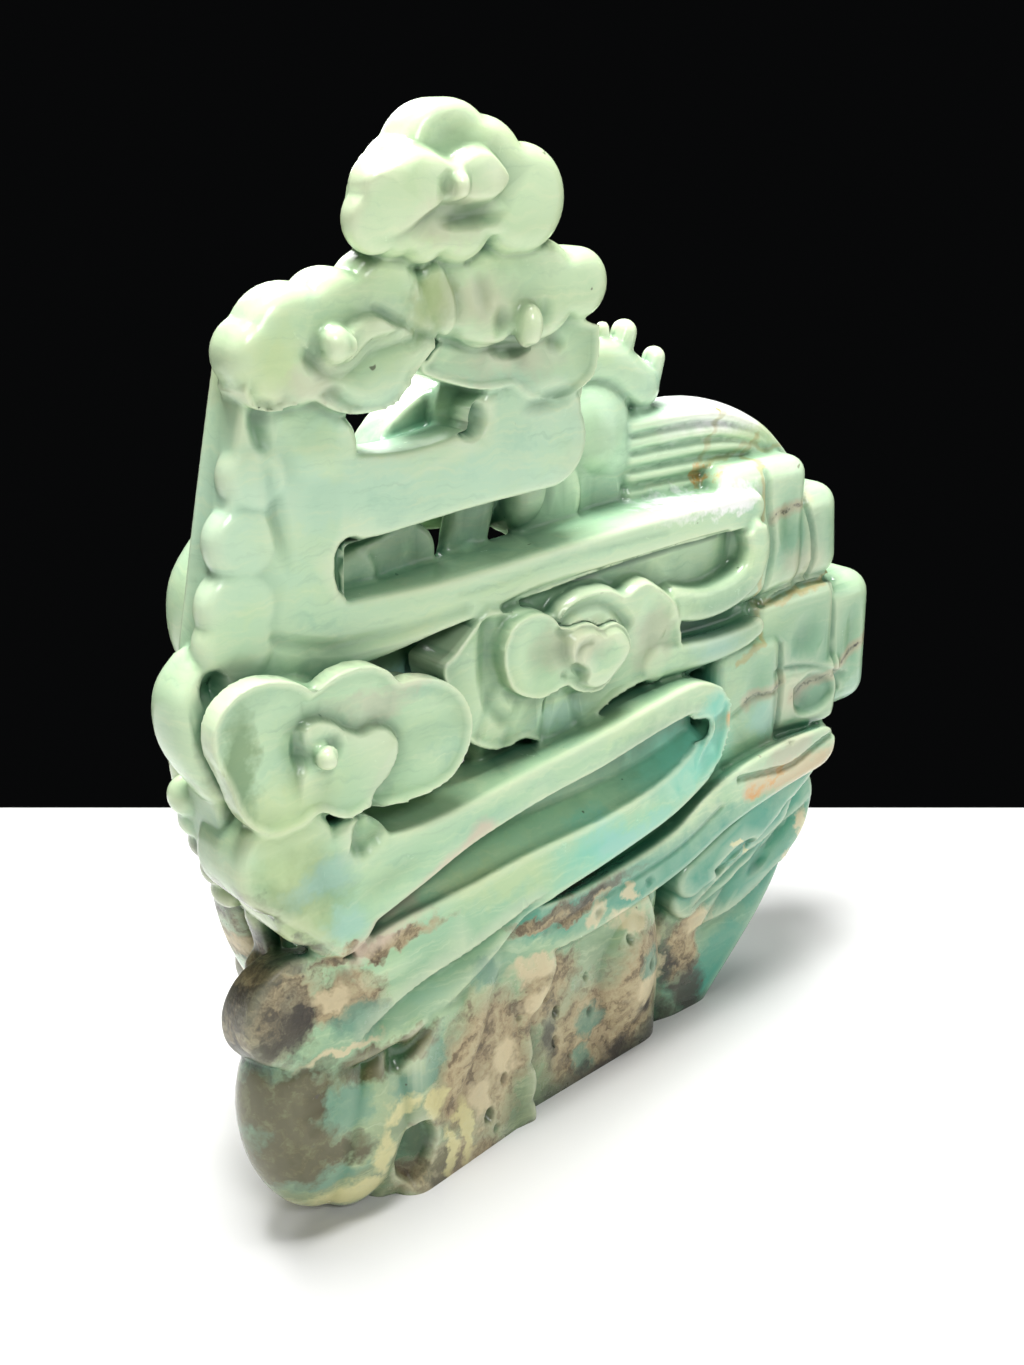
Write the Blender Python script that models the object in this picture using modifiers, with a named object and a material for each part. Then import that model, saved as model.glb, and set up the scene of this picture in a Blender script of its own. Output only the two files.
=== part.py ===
"""Dragon among clouds, carved in openwork from one block of banded blue-green calcite.

The origin is in the middle of the flat underside. +Z is up, -Y is the cloud side of the carving
and +Y is the dragon side. Everything is one solid piece of stone.
"""
import math

import bmesh
import bpy
from mathutils import Matrix, Vector

# The carving is free form, so its pose, proportions and depths are shares of its height:
# one MM is 1/155 of the height, which is a millimetre at the real size.
HEIGHT = 0.155
MM = HEIGHT / 155

# Fineness of the solid: the grid that fuses the shapes, and the share of its faces that is kept.
GRID = 1.0 * MM
KEPT_FACES = 0.054
POLISH_PASSES = 3
CUTTER_SIZE = (300, 200, 40)

# Depths of the main layers on the cloud side, as the Y of their front faces.
TOP_CLOUD_FRONT = -20.0
LEFT_TIER_FRONT = -17.5
SCREEN_FRONT = -15.0
SCREEN_THICKNESS = 9.0
RAISED_CLOUD_FRONT = -20.5
LOWER_BAND_FRONT = -21.0
BASE_FRONT = -19.0
SLAB_SQUARENESS = 0.35
MANE_LOCKS = 5
PAW_CLAWS = 4
TAIL_RAYS = 5


def ring_points(station, along, sides, squareness):
    """One closed ring of a loft, square to its path along; half_depth is its reach along Y."""
    x, y, z, half_height, half_depth = station
    side = Vector((0, 1, 0))
    side = (side - along * side.dot(along)).normalized()
    rise = side.cross(along).normalized()
    points = []
    for k in range(sides):
        angle = 2 * math.pi * k / sides
        c, s = math.cos(angle), math.sin(angle)
        c = math.copysign(abs(c) ** squareness, c)
        s = math.copysign(abs(s) ** squareness, s)
        points.append(Vector((x, y, z)) + side * (c * half_depth) + rise * (s * half_height))
    return points


def smooth_path(stations, steps):
    """Stations between the given ones, on a Catmull-Rom curve through them."""
    padded = [stations[0]] + list(stations) + [stations[-1]]
    path = []
    for a, b, c, d in zip(padded, padded[1:], padded[2:], padded[3:]):
        for k in range(steps):
            t = k / steps
            path.append([
                0.5 * (2 * q + (r - p) * t + (2 * p - 5 * q + 4 * r - s) * t ** 2
                       + (3 * q - p - 3 * r + s) * t ** 3)
                for p, q, r, s in zip(a, b, c, d)
            ])
    path.append(list(stations[-1]))
    return path


def skin(bm, rings):
    """Closes a row of rings of equal size into one solid."""
    sides = len(rings[0])
    for first, second in zip(rings, rings[1:]):
        for k in range(sides):
            n = (k + 1) % sides
            bm.faces.new((first[k], first[n], second[n], second[k]))
    bm.faces.new(reversed(rings[0]))
    bm.faces.new(rings[-1])


def band(bm, stations, squareness=0.75, steps=5, sides=14):
    """A band or limb with round ends: a loft through (x, y, z, half_height, half_depth)."""
    path = smooth_path(stations, steps)
    rings = []
    for i, station in enumerate(path):
        before, after = path[max(i - 1, 0)], path[min(i + 1, len(path) - 1)]
        along = (Vector(after[:3]) - Vector(before[:3])).normalized()
        rings.append([bm.verts.new(p * MM) for p in ring_points(station, along, sides, squareness)])
    skin(bm, rings)
    for x, y, z, half_height, half_depth in (stations[0], stations[-1]):
        pebble(bm, (x, y, z), (half_height, half_depth, half_height))


def slab(bm, stations, fall=0.0, steps=4, sides=20):
    """A flat-faced band with crisp edges and round ends; fall is how far its section drops towards +Y."""
    path = smooth_path(stations, steps)
    rings = []
    for i, station in enumerate(path):
        before, after = path[max(i - 1, 0)], path[min(i + 1, len(path) - 1)]
        along = (Vector(after[:3]) - Vector(before[:3])).normalized()
        points = ring_points(station, along, sides, SLAB_SQUARENESS)
        for p in points:
            p.z -= fall * (p.y - station[1])
        rings.append([bm.verts.new(p * MM) for p in points])
    skin(bm, rings)
    for x, y, z, half_height, half_depth in (stations[0], stations[-1]):
        pad(bm, x, z, half_height, y - half_depth, 2 * half_depth, 1.6, fall=fall)


def pebble(bm, centre, radii, tilt=0.0, roll=0.0):
    """A smooth ellipsoid. tilt turns it about Y, in degrees, and roll about X."""
    turn = Matrix.Rotation(math.radians(tilt), 4, "Y") @ Matrix.Rotation(math.radians(roll), 4, "X")
    place = Matrix.Translation(Vector(centre) * MM) @ turn @ Matrix.Diagonal((*(Vector(radii) * MM), 1))
    bmesh.ops.create_uvsphere(bm, u_segments=20, v_segments=12, radius=1, matrix=place)


def pad(bm, x, z, radius, front, thickness, rim=2.0, fall=0.0):
    """One lobe of a cloud: a round pad that faces -Y, with a rounded rim; fall is as in slab."""
    turn = Matrix.Rotation(math.radians(90), 4, "X")
    middle = Vector((x, front + thickness / 2, z)) * MM
    shear = Matrix.Identity(4)
    shear[2][1] = -fall
    made = bmesh.ops.create_cone(
        bm, cap_ends=True, segments=28, radius1=radius * MM, radius2=radius * MM, depth=thickness * MM,
        matrix=Matrix.Translation(middle) @ shear @ turn,
    )
    edges = {e for v in made["verts"] for e in v.link_edges}
    rims = [e for e in edges if max(len(f.verts) for f in e.link_faces) > 4]
    bmesh.ops.bevel(
        bm, geom=rims, offset=min(rim, thickness * 0.45, radius * 0.7) * MM, segments=3,
        affect="EDGES", profile=0.5, material=-1,
    )


def cloud(bm, lobes, front, thickness, rim=2.0):
    """A scalloped cloud made of lobes (x, z, radius)."""
    for x, z, radius in lobes:
        pad(bm, x, z, radius, front, thickness, rim)


def block(bm, low, high, rounding, turn=0.0, lean=0.0):
    """A rounded block of rock between two corners, turned about Z and leaned about Y, in degrees."""
    low, high = Vector(low), Vector(high)
    middle = (low + high) / 2
    place = (Matrix.Translation(middle * MM) @ Matrix.Rotation(math.radians(turn), 4, "Z")
             @ Matrix.Rotation(math.radians(lean), 4, "Y") @ Matrix.Diagonal((*((high - low) * MM), 1)))
    made = bmesh.ops.create_cube(bm, size=1, matrix=place)
    edges = {e for v in made["verts"] for e in v.link_edges}
    bmesh.ops.bevel(
        bm, geom=list(edges), offset=rounding * MM, segments=3, affect="EDGES", profile=0.5, material=-1)


def top_clouds(bm):
    """The crowning cloud with its curl, and the two tiers of cloud below it."""
    crown = [(-20, 147.3, 7.8), (-26.5, 143, 5.8), (-8.2, 142.8, 6.9), (-19, 140.8, 5.6), (-10, 140.9, 5),
             (-15, 146, 7), (-25, 145.5, 5.4), (-24.5, 139.4, 4), (-28.6, 140.9, 4.5)]
    cloud(bm, crown, TOP_CLOUD_FRONT, 9, rim=2.6)
    curl = [(-27, 145.4, 4.2), (-19, 146, 3.9), (-23.2, 145, 3.4), (-29.4, 142.2, 3.8)]
    cloud(bm, curl, TOP_CLOUD_FRONT - 1.7, 5, rim=1.2)
    pebble(bm, (-23.5, TOP_CLOUD_FRONT - 1.8, 144.7), (1.4, 1.4, 2.1))
    left_tier = [(-42, 126.8, 7.4), (-46.8, 126, 4.7), (-36, 127.4, 7), (-31.6, 124.6, 7),
                 (-46.3, 123.4, 3.8), (-26.5, 128, 6), (-29, 132, 5.4), (-36, 130, 5.6)]
    cloud(bm, left_tier, LEFT_TIER_FRONT, 8, rim=2.4)
    pebble(bm, (-38.4, LEFT_TIER_FRONT - 0.9, 126.3), (2.9, 2.6, 2.9))
    band(bm, [(-37, -17.6, 126.8, 1.8, 1.8), (-32, -17.4, 127.8, 2.2, 2), (-25, -16, 126.6, 1.4, 1.8)])
    right_tier = [(4.1, 131.2, 4.9), (-3.5, 130.9, 6.8), (-13, 130.6, 7), (-20, 131.2, 5.6), (-8, 134, 5.4)]
    cloud(bm, right_tier, LEFT_TIER_FRONT, 9, rim=2.4)
    pebble(bm, (-7.2, LEFT_TIER_FRONT - 0.5, 126.6), (1.9, 2.2, 3.0))
    lip = [(3, 120.9, 5.3), (-3.5, 121.2, 4.8), (-10, 122.8, 4.2), (-16, 122.4, 4.5), (-20, 123.5, 3.4)]
    cloud(bm, lip, SCREEN_FRONT - 0.5, 9, rim=1.8)


def screen(bm):
    """The upright wall at the left, and the flat bands that run out of it to the right."""
    half = SCREEN_THICKNESS / 2
    middle = SCREEN_FRONT + half
    wall = [(-42, middle, 124, 6.5, half), (-43, middle, 112, 8.2, half), (-45, middle, 95, 9.8, half),
            (-46.5, middle, 82, 10.4, half), (-46, middle, 62, 10, half)]
    slab(bm, wall)
    for x, z, size in ((-47.9, 111.4, 3.4), (-49.4, 104.4, 3.9), (-50.9, 97.2, 3.9), (-52.2, 90.4, 3.8)):
        pebble(bm, (x, SCREEN_FRONT + 3.4, z), (size, 4.1, size * 1.3), tilt=8)
    first_band = [(-40, middle, 106.5, 6.6, half), (-26, middle, 106.4, 5.2, half),
                  (-14, middle, 107.6, 5.4, half), (0.3, middle, 109.6, 6.8, half)]
    slab(bm, first_band)
    slab(bm, [(-10, middle, 114, 4, half), (0.5, middle, 113.5, 5.6, half)])
    second_band = [(-42, -9, 88, 5, 6), (-30, -9, 88.4, 4.4, 6), (-18, -9, 89.3, 3.5, 6), (0, -9, 90.6, 3.1, 6),
                   (20, -9, 92, 2.9, 6), (38, -9.5, 92.6, 2.9, 5.5), (44.5, -10, 92.8, 2.8, 5)]
    slab(bm, second_band)
    slab(bm, [(-6, -7, 85, 4.6, 4), (10, -7, 86, 5, 4), (26, -8, 84.5, 6, 4), (40, -8, 84, 6.5, 4)])
    slab(bm, [(14, -7, 70, 5, 3.6), (30, -7, 72, 7, 4), (44, -7, 74, 8, 4)])


def cloud_side_clouds(bm):
    """The big raised cloud at the left, the middle cloud with its spiral, and the ribbons."""
    big = [(-51.2, 76.6, 9.7), (-46, 73.5, 7), (-46, 79, 6)]
    cloud(bm, big, RAISED_CLOUD_FRONT - 1.1, 9, rim=1.8)
    lower_lobe = [(-36.4, 77, 8.3), (-26.7, 73.4, 8.1), (-42.5, 78.5, 5.5), (-31, 76, 6.2)]
    cloud(bm, lower_lobe, RAISED_CLOUD_FRONT, 8, rim=1.6)
    heart = [(-42.5, 75.2, 4.1), (-35.8, 73.1, 3.8), (-41, 70.6, 6.3), (-37.8, 70.6, 5.4), (-46.5, 72.5, 5.6)]
    cloud(bm, heart, RAISED_CLOUD_FRONT - 1.7, 6, rim=1.2)
    pebble(bm, (-43.5, RAISED_CLOUD_FRONT - 2.2, 75.2), (2.1, 1.7, 2.5))
    backing = [(-9.5, 72.7, 7.2), (-4, 71, 6.6), (5, 72.4, 7.5), (14.5, 75, 7.2), (-9, 80, 6.6), (3, 79, 8),
               (22, 75.5, 5.6)]
    cloud(bm, backing, SCREEN_FRONT - 1, 9, rim=2)
    raised = [(-5.3, 79.3, 6.4), (5.6, 79.5, 8), (17.8, 79.3, 7.4), (14, 76, 6), (22.5, 74, 5)]
    cloud(bm, raised, SCREEN_FRONT - 3.4, 6, rim=1.4)
    spiral = [(2.9, 78.9, 3.8), (8.8, 78.2, 3.5), (5.4, 75.8, 4.3)]
    cloud(bm, spiral, SCREEN_FRONT - 5, 4, rim=1.1)
    upper_ribbon = [(25, -11.6, 80.6, 3.0, 4.2), (32, -11.8, 79.0, 2.9, 4.2), (38.5, -12, 79.6, 2.9, 4.2),
                    (43.6, -12, 82.0, 2.9, 4.2), (45.2, -12, 86.0, 2.8, 4.2), (44.4, -12, 89.6, 2.6, 4.2)]
    band(bm, upper_ribbon, squareness=0.45)
    lower_ribbon = [(22, -11, 70.4, 3.2, 5), (34, -11, 69.8, 2.7, 5), (43, -11.4, 70.4, 2.3, 4.4),
                    (46.5, -11.6, 71.4, 1.9, 4)]
    slab(bm, lower_ribbon, fall=0.2)
    rolled = [(-56, -11, 88, 2.6, 3.5), (-58.6, -10.5, 84, 2.6, 4.5), (-58.4, -10.5, 78, 2.6, 5),
              (-55.5, -12, 72, 2.4, 4)]
    band(bm, rolled)


def lower_bands(bm):
    """The lower wall and the heavy bands that sweep up to the right, each overhanging the next."""
    wall = [(-50, 62, 7.6), (-45, 55.5, 7.6), (-41.8, 51, 6.2), (-40, 58, 7)]
    cloud(bm, wall, LOWER_BAND_FRONT, 12, rim=1.6)
    third_band = [(-40, -15, 52, 7, 6), (-30, -15, 52.2, 5.4, 6), (-20, -15, 56, 3.7, 6), (-7, -15, 60, 2.7, 6),
                  (6, -14.5, 62.3, 2.4, 6), (18, -14, 63.5, 2.5, 6), (28, -13.5, 63.7, 2.7, 5.5),
                  (32.5, -13, 63.8, 2, 5)]
    slab(bm, third_band, fall=0.42)
    fourth_band = [(-48.8, -15.5, 37.2, 8.4, 4.2), (-42, -14, 34, 9.4, 6.5), (-31, -13, 35.2, 9.6, 8),
                   (-20, -13, 37.2, 7.5, 8), (-8, -13, 42.2, 5.4, 8), (8, -13, 45.5, 4.9, 7.5),
                   (22, -12.5, 48.3, 5.1, 7), (31.5, -12, 51.6, 4.6, 6)]
    slab(bm, fourth_band, fall=0.3)
    slab(bm, [(-34, -9, 46, 6, 6), (-16, -9, 50, 6, 6), (4, -9, 55, 6.5, 6), (24, -9, 58, 8, 6)])
    broad_ledge = [(-8.5, -12, 32.2, 4.2, 7), (2, -12, 31.2, 4.6, 7), (14, -12, 32.7, 4.5, 7),
                   (26, -12, 35.5, 4.4, 7), (38, -11.5, 40, 5.0, 6.5), (52, -11, 42.5, 4.8, 6.5),
                   (64.5, -11, 43.4, 4, 6)]
    slab(bm, broad_ledge, fall=0.45)
    slab(bm, [(-14, -9, 40, 6, 6), (10, -8, 40, 7, 6), (34, -7, 48, 7, 7)])


def base_rock(bm):
    """The rock it stands on: its steps, the draped lobe at the left, the leaning ledges at the right."""
    pebble(bm, (-45.5, -14, 18.5), (10.5, 7.5, 17.5), tilt=-10)
    pebble(bm, (-38, -15, 14), (9, 7, 14.5), tilt=12)
    fold = [(-12, -13, 36, 3, 5), (-17.6, -15.2, 30, 3.6, 5), (-21.8, -16.6, 22.5, 4.4, 4.6),
            (-25.6, -17.6, 15, 3.6, 3.8), (-26.6, -18, 11.5, 1.6, 3)]
    band(bm, fold, squareness=0.5)
    band(bm, [(-20, -14, 29, 4.4, 4.4), (-30, -14.5, 22, 6.4, 5), (-40, -15, 18, 7, 5)], squareness=0.9)
    pebble(bm, (-32, -15, 6), (5.5, 5.5, 9), tilt=24)
    block(bm, (-36, BASE_FRONT - 1.5, -8), (-4.5, 16, 32), 5, turn=8)
    block(bm, (-14, BASE_FRONT + 3.4, -8), (28, 18, 33), 4.5, turn=4)
    lean_to = [(19, 1, -6, 12, 13), (34, 1, 8, 12, 13), (48, 0.5, 22, 12, 12.5), (58, 0, 33, 12, 11.5)]
    slab(bm, lean_to)
    slab(bm, [(35, -8.5, 24.0, 4.4, 5), (48, -8, 28.8, 5.2, 5), (58, -7.5, 34.5, 5.2, 5)])
    upper_ledge = [(34, -9.5, 28.5, 3.8, 5.6), (46, -9.4, 33, 4.6, 5.6), (56, -9.2, 38.2, 4.6, 5.4),
                   (65, -8.6, 42, 4, 5)]
    slab(bm, upper_ledge)


def right_steps(bm):
    """The stepped rock that closes the right end, like broken columns."""
    block(bm, (40, -13, 75), (61, 12, 99.5), 4)
    block(bm, (54, -12, 74), (72, 11, 92.5), 4.5, lean=-6)
    block(bm, (48, -13, 50), (71.5, 13, 77), 4.5)
    block(bm, (62, -12.5, 49), (83.6, 11, 75), 5, lean=-2)
    block(bm, (38, -14, 46), (55, 13, 69.5), 4)
    block(bm, (50, -12, 45), (70, 12, 60), 5)
    slab(bm, [(34, -2, 80, 8, 8), (46, -2, 86, 11, 9)])
    block(bm, (22, -8, 62), (44, 5, 90), 3)
    block(bm, (26, -7, 42), (44, 6, 72), 3)
    block(bm, (22, -8, 12), (46, 10, 42), 4)


def dragon(bm):
    """The dragon on the far side: its body in one long S, its tail, head, antlers and mane."""
    body = [(19, 1, 107, 9.6, 7), (29, 5, 97, 8.4, 7.5), (37, 10, 84, 7.6, 7), (33, 13, 73, 7.2, 7),
            (19, 14, 69, 7, 7), (3, 14, 72, 6.8, 7), (-13, 13, 77, 6.4, 6.8), (-29, 11, 80, 6, 6),
            (-42, 9, 75, 5.6, 5.6), (-46, 8, 65, 5, 5.4), (-41, 9, 53, 4.6, 5), (-27, 11, 43, 4.4, 5),
            (-8, 14, 38, 4.2, 5), (12, 15, 38, 3.8, 4.6), (29, 14, 47, 3, 3.8), (40, 13, 56, 2, 2.6)]
    band(bm, body, squareness=1.0, steps=6, sides=16)
    pebble(bm, (-1, 6, 112), (13, 5, 8))
    head = [(19, 8, 108, 7.6, 7), (9, 11, 105.5, 6.6, 6.6), (0, 13, 102.5, 4.8, 5.4), (-7, 14.5, 101.5, 4, 4.6)]
    band(bm, head, squareness=0.9)
    pebble(bm, (-9, 15, 103), (3.4, 4.6, 3))
    for y in (6.5, 16.5):
        pebble(bm, (9, y, 109.5), (4.6, 2.6, 2.8), tilt=14)
    band(bm, [(15, 9, 98, 4, 5), (5, 11.5, 94.6, 2.8, 4.4), (-4, 13, 94.2, 2.2, 3.4)], squareness=0.9)
    antler_root = [(14, 0, 117, 3, 3), (22, -2, 117.5, 3.4, 2.6), (30, -2, 112.5, 3.4, 2.6)]
    band(bm, antler_root, squareness=0.8)
    for x, z, reach, size in ((22, 118, -0.6, 1.1), (24.6, 117, 1.4, 2.1), (31.5, 112.5, 1.2, 1.9)):
        band(bm, [(x, -2, z, size, size), (x + reach, -2, z + 4.4, size, size)], squareness=1.0)
    slab(bm, [(28, 0, 103, 6, 4), (44, 0, 102.5, 6, 4.4), (56, 0, 98.5, 4.6, 4.4)])
    for k in range(MANE_LOCKS):
        spread = k / (MANE_LOCKS - 1)
        band(bm, [(26, 0, 107 - 11 * spread, 2, 5), (42, -1, 107.5 - 11 * spread, 2.1, 6),
                  (54, -1, 103.5 - 7 * spread, 2, 6), (63, -1, 96.8 - 2 * spread, 1.8, 5)], squareness=1.0)
    leg(bm, [(33, 14, 80, 6, 5), (22, 18, 82, 4.6, 4), (12, 19, 78, 3.4, 3.4), (8, 19, 79.5, 2.6, 2.8)])
    leg(bm, [(-26, 13, 74, 6, 5), (-22, 17, 65, 4.4, 4), (-14, 18, 59, 3.2, 3.2), (-13, 18, 55, 2.6, 2.8)])
    for k in range(TAIL_RAYS):
        flare = math.radians(20 + 32 * k)
        tip = (40 + 9 * math.cos(flare), 13, 57 + 9 * math.sin(flare))
        band(bm, [(39, 13, 55, 2.4, 2.6), (*tip, 1.2, 1.4)], squareness=1.0)


def leg(bm, stations):
    """A dragon's leg with four claws spread from its paw."""
    band(bm, stations, squareness=1.0)
    x, y, z = stations[-1][:3]
    for k in range(PAW_CLAWS):
        turn = math.radians(150 + 34 * k)
        reach = (x + 7 * math.cos(turn), y + 0.6, z + 7 * math.sin(turn))
        band(bm, [(x, y, z, 2.2, 2.4), (*reach, 1.1, 1.3)], squareness=1.0)


def front_clouds(bm):
    """Clouds, rock and the pearl on the dragon side, and the frilled edge at the left."""
    cloud(bm, [(-24, 27, 8), (-14, 25, 8), (-33, 25, 6), (-5, 26, 7), (4, 25, 7)], 8, 11, rim=3)
    cloud(bm, [(22, 30, 9), (34, 38, 9), (46, 42, 8), (13, 26, 7)], 6, 13, rim=3)
    cloud(bm, [(-26, 12, 9), (-12, 11, 8), (2, 12, 9), (18, 13, 9)], 9, 10, rim=3)
    cloud(bm, [(-25, 62, 6.5), (-14, 63, 6), (-3, 62, 6), (8, 60.5, 6.5), (19, 58, 7)], -3, 12, rim=2.5)
    pebble(bm, (-14, 15, 89), (5, 5, 5))
    cloud(bm, [(-22, 92, 5), (-29, 90, 6), (-33, 97, 5), (-22, 85, 5)], 4, 7, rim=2)
    band(bm, [(-40, -7, 92, 5, 4), (-32, 2, 92, 4.5, 5), (-26, 6, 90, 4, 4)])
    frill = [(-43, 5, 99, 2.2, 4), (-46.5, 6, 92, 2.8, 5), (-46.6, 6, 84, 2.8, 5), (-42, 6, 78, 2.6, 5)]
    band(bm, frill, squareness=0.8)
    band(bm, [(-46.5, 1, 54, 3, 3.6), (-45, 2, 44, 3.2, 4.4), (-40, 4, 33, 4, 5), (-32, 6, 22, 5, 6)])
    for k in range(4):
        pebble(bm, (-48.5 + 0.8 * k, 4, 63 - 4 * k), (3.2, 4, 2.4), tilt=30)


def inner_parts(bm):
    """What shows through the slots: the curtain of stone behind the screen and a lock of beard."""
    curtain = [(-25, -3.5, 97, 6, 3), (-19.4, -2.5, 106.9, 6, 3.2), (-13.3, -2, 111.3, 6, 3.5),
               (-8, -2, 114, 5, 3.5)]
    slab(bm, curtain)
    slab(bm, [(-30, -6, 94, 4, 2.6), (-22, -5, 94, 4.4, 3)])
    band(bm, [(3, 8, 98, 4.2, 3), (-2, 3, 95, 4.4, 3), (-6, -2, 93, 4.2, 3), (-8, -6, 88, 4, 3)])
    band(bm, [(9, 8, 96, 3, 3), (5, 1, 95.4, 3, 3), (2.4, -6, 98, 3.4, 3)])
    slab(bm, [(8, -2, 98, 7, 3.5), (18, 0, 97, 7, 4)])
    slab(bm, [(-6, -8, 116, 6, 3), (4, -8, 116, 6, 3)])


def floor_slab(bm):
    """A block whose top is the plane that the carving is sawn flat on."""
    place = Matrix.Translation(Vector((0, 0, -CUTTER_SIZE[2] / 2)) * MM)
    size = Matrix.Diagonal((*(Vector(CUTTER_SIZE) * MM), 1))
    bmesh.ops.create_cube(bm, size=1, matrix=place @ size)


def shapes_object(name, makers):
    """An object of overlapping closed shells, one after another."""
    bm = bmesh.new()
    for make in makers:
        make(bm)
    bmesh.ops.recalc_face_normals(bm, faces=bm.faces)
    mesh = bpy.data.meshes.new(name)
    bm.to_mesh(mesh)
    bm.free()
    return bpy.data.objects.new(name, mesh)


def stone_material():
    stone = bpy.data.materials.new("banded_calcite")
    stone.use_nodes = True
    shader = stone.node_tree.nodes["Principled BSDF"]
    shader.inputs["Base Color"].default_value = (0.55, 0.78, 0.66, 1)
    shader.inputs["Roughness"].default_value = 0.28
    shader.inputs["Metallic"].default_value = 0.0
    return stone


def build():
    for old in list(bpy.data.objects):
        bpy.data.objects.remove(old)
    works = bpy.data.collections.new("dragon_cloud_carving")
    cutters = bpy.data.collections.new("cutters")
    bpy.context.scene.collection.children.link(works)
    bpy.context.scene.collection.children.link(cutters)

    floor = shapes_object("floor_cutter", [floor_slab])
    floor.hide_render = True
    floor.display_type = "WIRE"
    cutters.objects.link(floor)

    makers = [top_clouds, screen, cloud_side_clouds, lower_bands, base_rock, right_steps, dragon, front_clouds,
              inner_parts]
    carving = shapes_object("dragon_cloud_carving", makers)
    works.objects.link(carving)
    carving.data.materials.append(stone_material())
    fuse = carving.modifiers.new("fuse", "REMESH")
    fuse.mode = "VOXEL"
    fuse.voxel_size = GRID
    polish = carving.modifiers.new("polish", "SMOOTH")
    polish.factor = 0.5
    polish.iterations = POLISH_PASSES
    thin = carving.modifiers.new("thin", "DECIMATE")
    thin.ratio = KEPT_FACES
    flat = carving.modifiers.new("flat_underside", "BOOLEAN")
    flat.operation = "DIFFERENCE"
    flat.object = floor


build()
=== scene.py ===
"""Dragon among clouds, carved in openwork from one block of banded blue-green calcite.

The block is put together in the order in which a carver would name its parts, then fused into one
stone, cut with its finer lines, polished and coloured. One MM is a millimetre of the real carving.
"""
import math

import bmesh
import bpy
import numpy as np
from mathutils import Matrix, Vector
from mathutils.bvhtree import BVHTree


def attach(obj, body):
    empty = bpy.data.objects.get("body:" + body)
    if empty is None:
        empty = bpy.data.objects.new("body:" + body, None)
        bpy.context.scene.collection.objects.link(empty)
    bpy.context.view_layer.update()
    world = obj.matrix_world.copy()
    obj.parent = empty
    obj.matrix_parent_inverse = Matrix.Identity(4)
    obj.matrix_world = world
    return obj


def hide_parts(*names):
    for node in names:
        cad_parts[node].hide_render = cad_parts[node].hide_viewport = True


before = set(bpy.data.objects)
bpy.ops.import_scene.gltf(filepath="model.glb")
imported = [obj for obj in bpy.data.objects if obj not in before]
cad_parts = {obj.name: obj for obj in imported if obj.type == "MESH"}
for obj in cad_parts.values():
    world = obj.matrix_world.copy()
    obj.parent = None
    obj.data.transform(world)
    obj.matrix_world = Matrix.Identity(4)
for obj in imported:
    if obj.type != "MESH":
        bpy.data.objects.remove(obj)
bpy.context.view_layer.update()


# The crowning cloud. It is the top of the block: a thick scalloped pad of pale, waxy stone with a
# two-lobed curl and a small pill raised on its face. Every shape below goes into one block of
# closed shells, and every line and hollow is kept in a list that is cut after the shells are fused.
MM = 0.001
LINE_REACH = 14
TURNED_AWAY = 0.1
TURNING = 0.35
CROWN_FRONT = -20.0
ROUND_SIDES = 44
PEBBLE_SIDES, PEBBLE_RINGS = 32, 20
MOST_RIM = 0.46
VALLEY = 0.7
VALLEY_RIM = 1.2
LEAST_CHORD = 2

block = bmesh.new()
cuts = []


def keep(shell):
    """Adds one finished closed shell to the block."""
    bmesh.ops.recalc_face_normals(shell, faces=shell.faces)
    mesh = bpy.data.meshes.new("shell")
    shell.to_mesh(mesh)
    shell.free()
    block.from_mesh(mesh)
    bpy.data.meshes.remove(mesh)


def pebble(centre, radii, tilt=0.0):
    """A smooth ellipsoid, turned about Y by tilt in degrees."""
    shell = bmesh.new()
    turn = Matrix.Rotation(math.radians(tilt), 4, "Y")
    place = Matrix.Translation(Vector(centre) * MM) @ turn @ Matrix.Diagonal((*(Vector(radii) * MM), 1))
    bmesh.ops.create_uvsphere(shell, u_segments=PEBBLE_SIDES, v_segments=PEBBLE_RINGS, radius=1, matrix=place)
    keep(shell)


def pad(x, z, radius, front, thickness, rim, fall=0.0):
    """One lobe of a cloud: a round pad that faces -Y, with a rounded rim; fall is its drop towards +Y."""
    shell = bmesh.new()
    turn = Matrix.Rotation(math.radians(90), 4, "X")
    shear = Matrix.Identity(4)
    shear[2][1] = -fall
    place = Matrix.Translation(Vector((x, front + thickness / 2, z)) * MM) @ shear @ turn
    made = bmesh.ops.create_cone(
        shell, cap_ends=True, segments=ROUND_SIDES, radius1=radius * MM, radius2=radius * MM,
        depth=thickness * MM, matrix=place)
    rims = {e for v in made["verts"] for e in v.link_edges if max(len(f.verts) for f in e.link_faces) > 4}
    bmesh.ops.bevel(
        shell, geom=list(rims), offset=min(rim, thickness * MOST_RIM, radius * 0.8) * MM, segments=5,
        affect="EDGES", profile=0.5, material=-1)
    keep(shell)


def cloud(lobes, front, thickness, rim):
    """A scalloped cloud of lobes (x, z, radius) with one flat face: a pad fills each valley between two."""
    for i, (x, z, radius) in enumerate(lobes):
        pad(x, z, radius, front, thickness, rim)
        for other_x, other_z, other in lobes[:i]:
            gap = math.hypot(other_x - x, other_z - z)
            share = (gap * gap + radius * radius - other * other) / (2 * gap)
            if gap > radius + other or not 0 < share < gap:
                continue
            half_chord = math.sqrt(radius * radius - share * share)
            if half_chord > LEAST_CHORD:
                pad(x + (other_x - x) * share / gap, z + (other_z - z) * share / gap, half_chord - VALLEY,
                    front, thickness, min(rim, VALLEY_RIM))


def read_facing():
    """Finds which way each point of the fused stone faces."""
    skin_mesh.vertices.foreach_set("co", (points * MM).astype(np.float32).ravel())
    skin_mesh.update()
    normals = np.empty(len(points) * 3, np.float32)
    skin_mesh.vertex_normals.foreach_get("vector", normals)
    facing[:] = normals.reshape(-1, 3)


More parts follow.
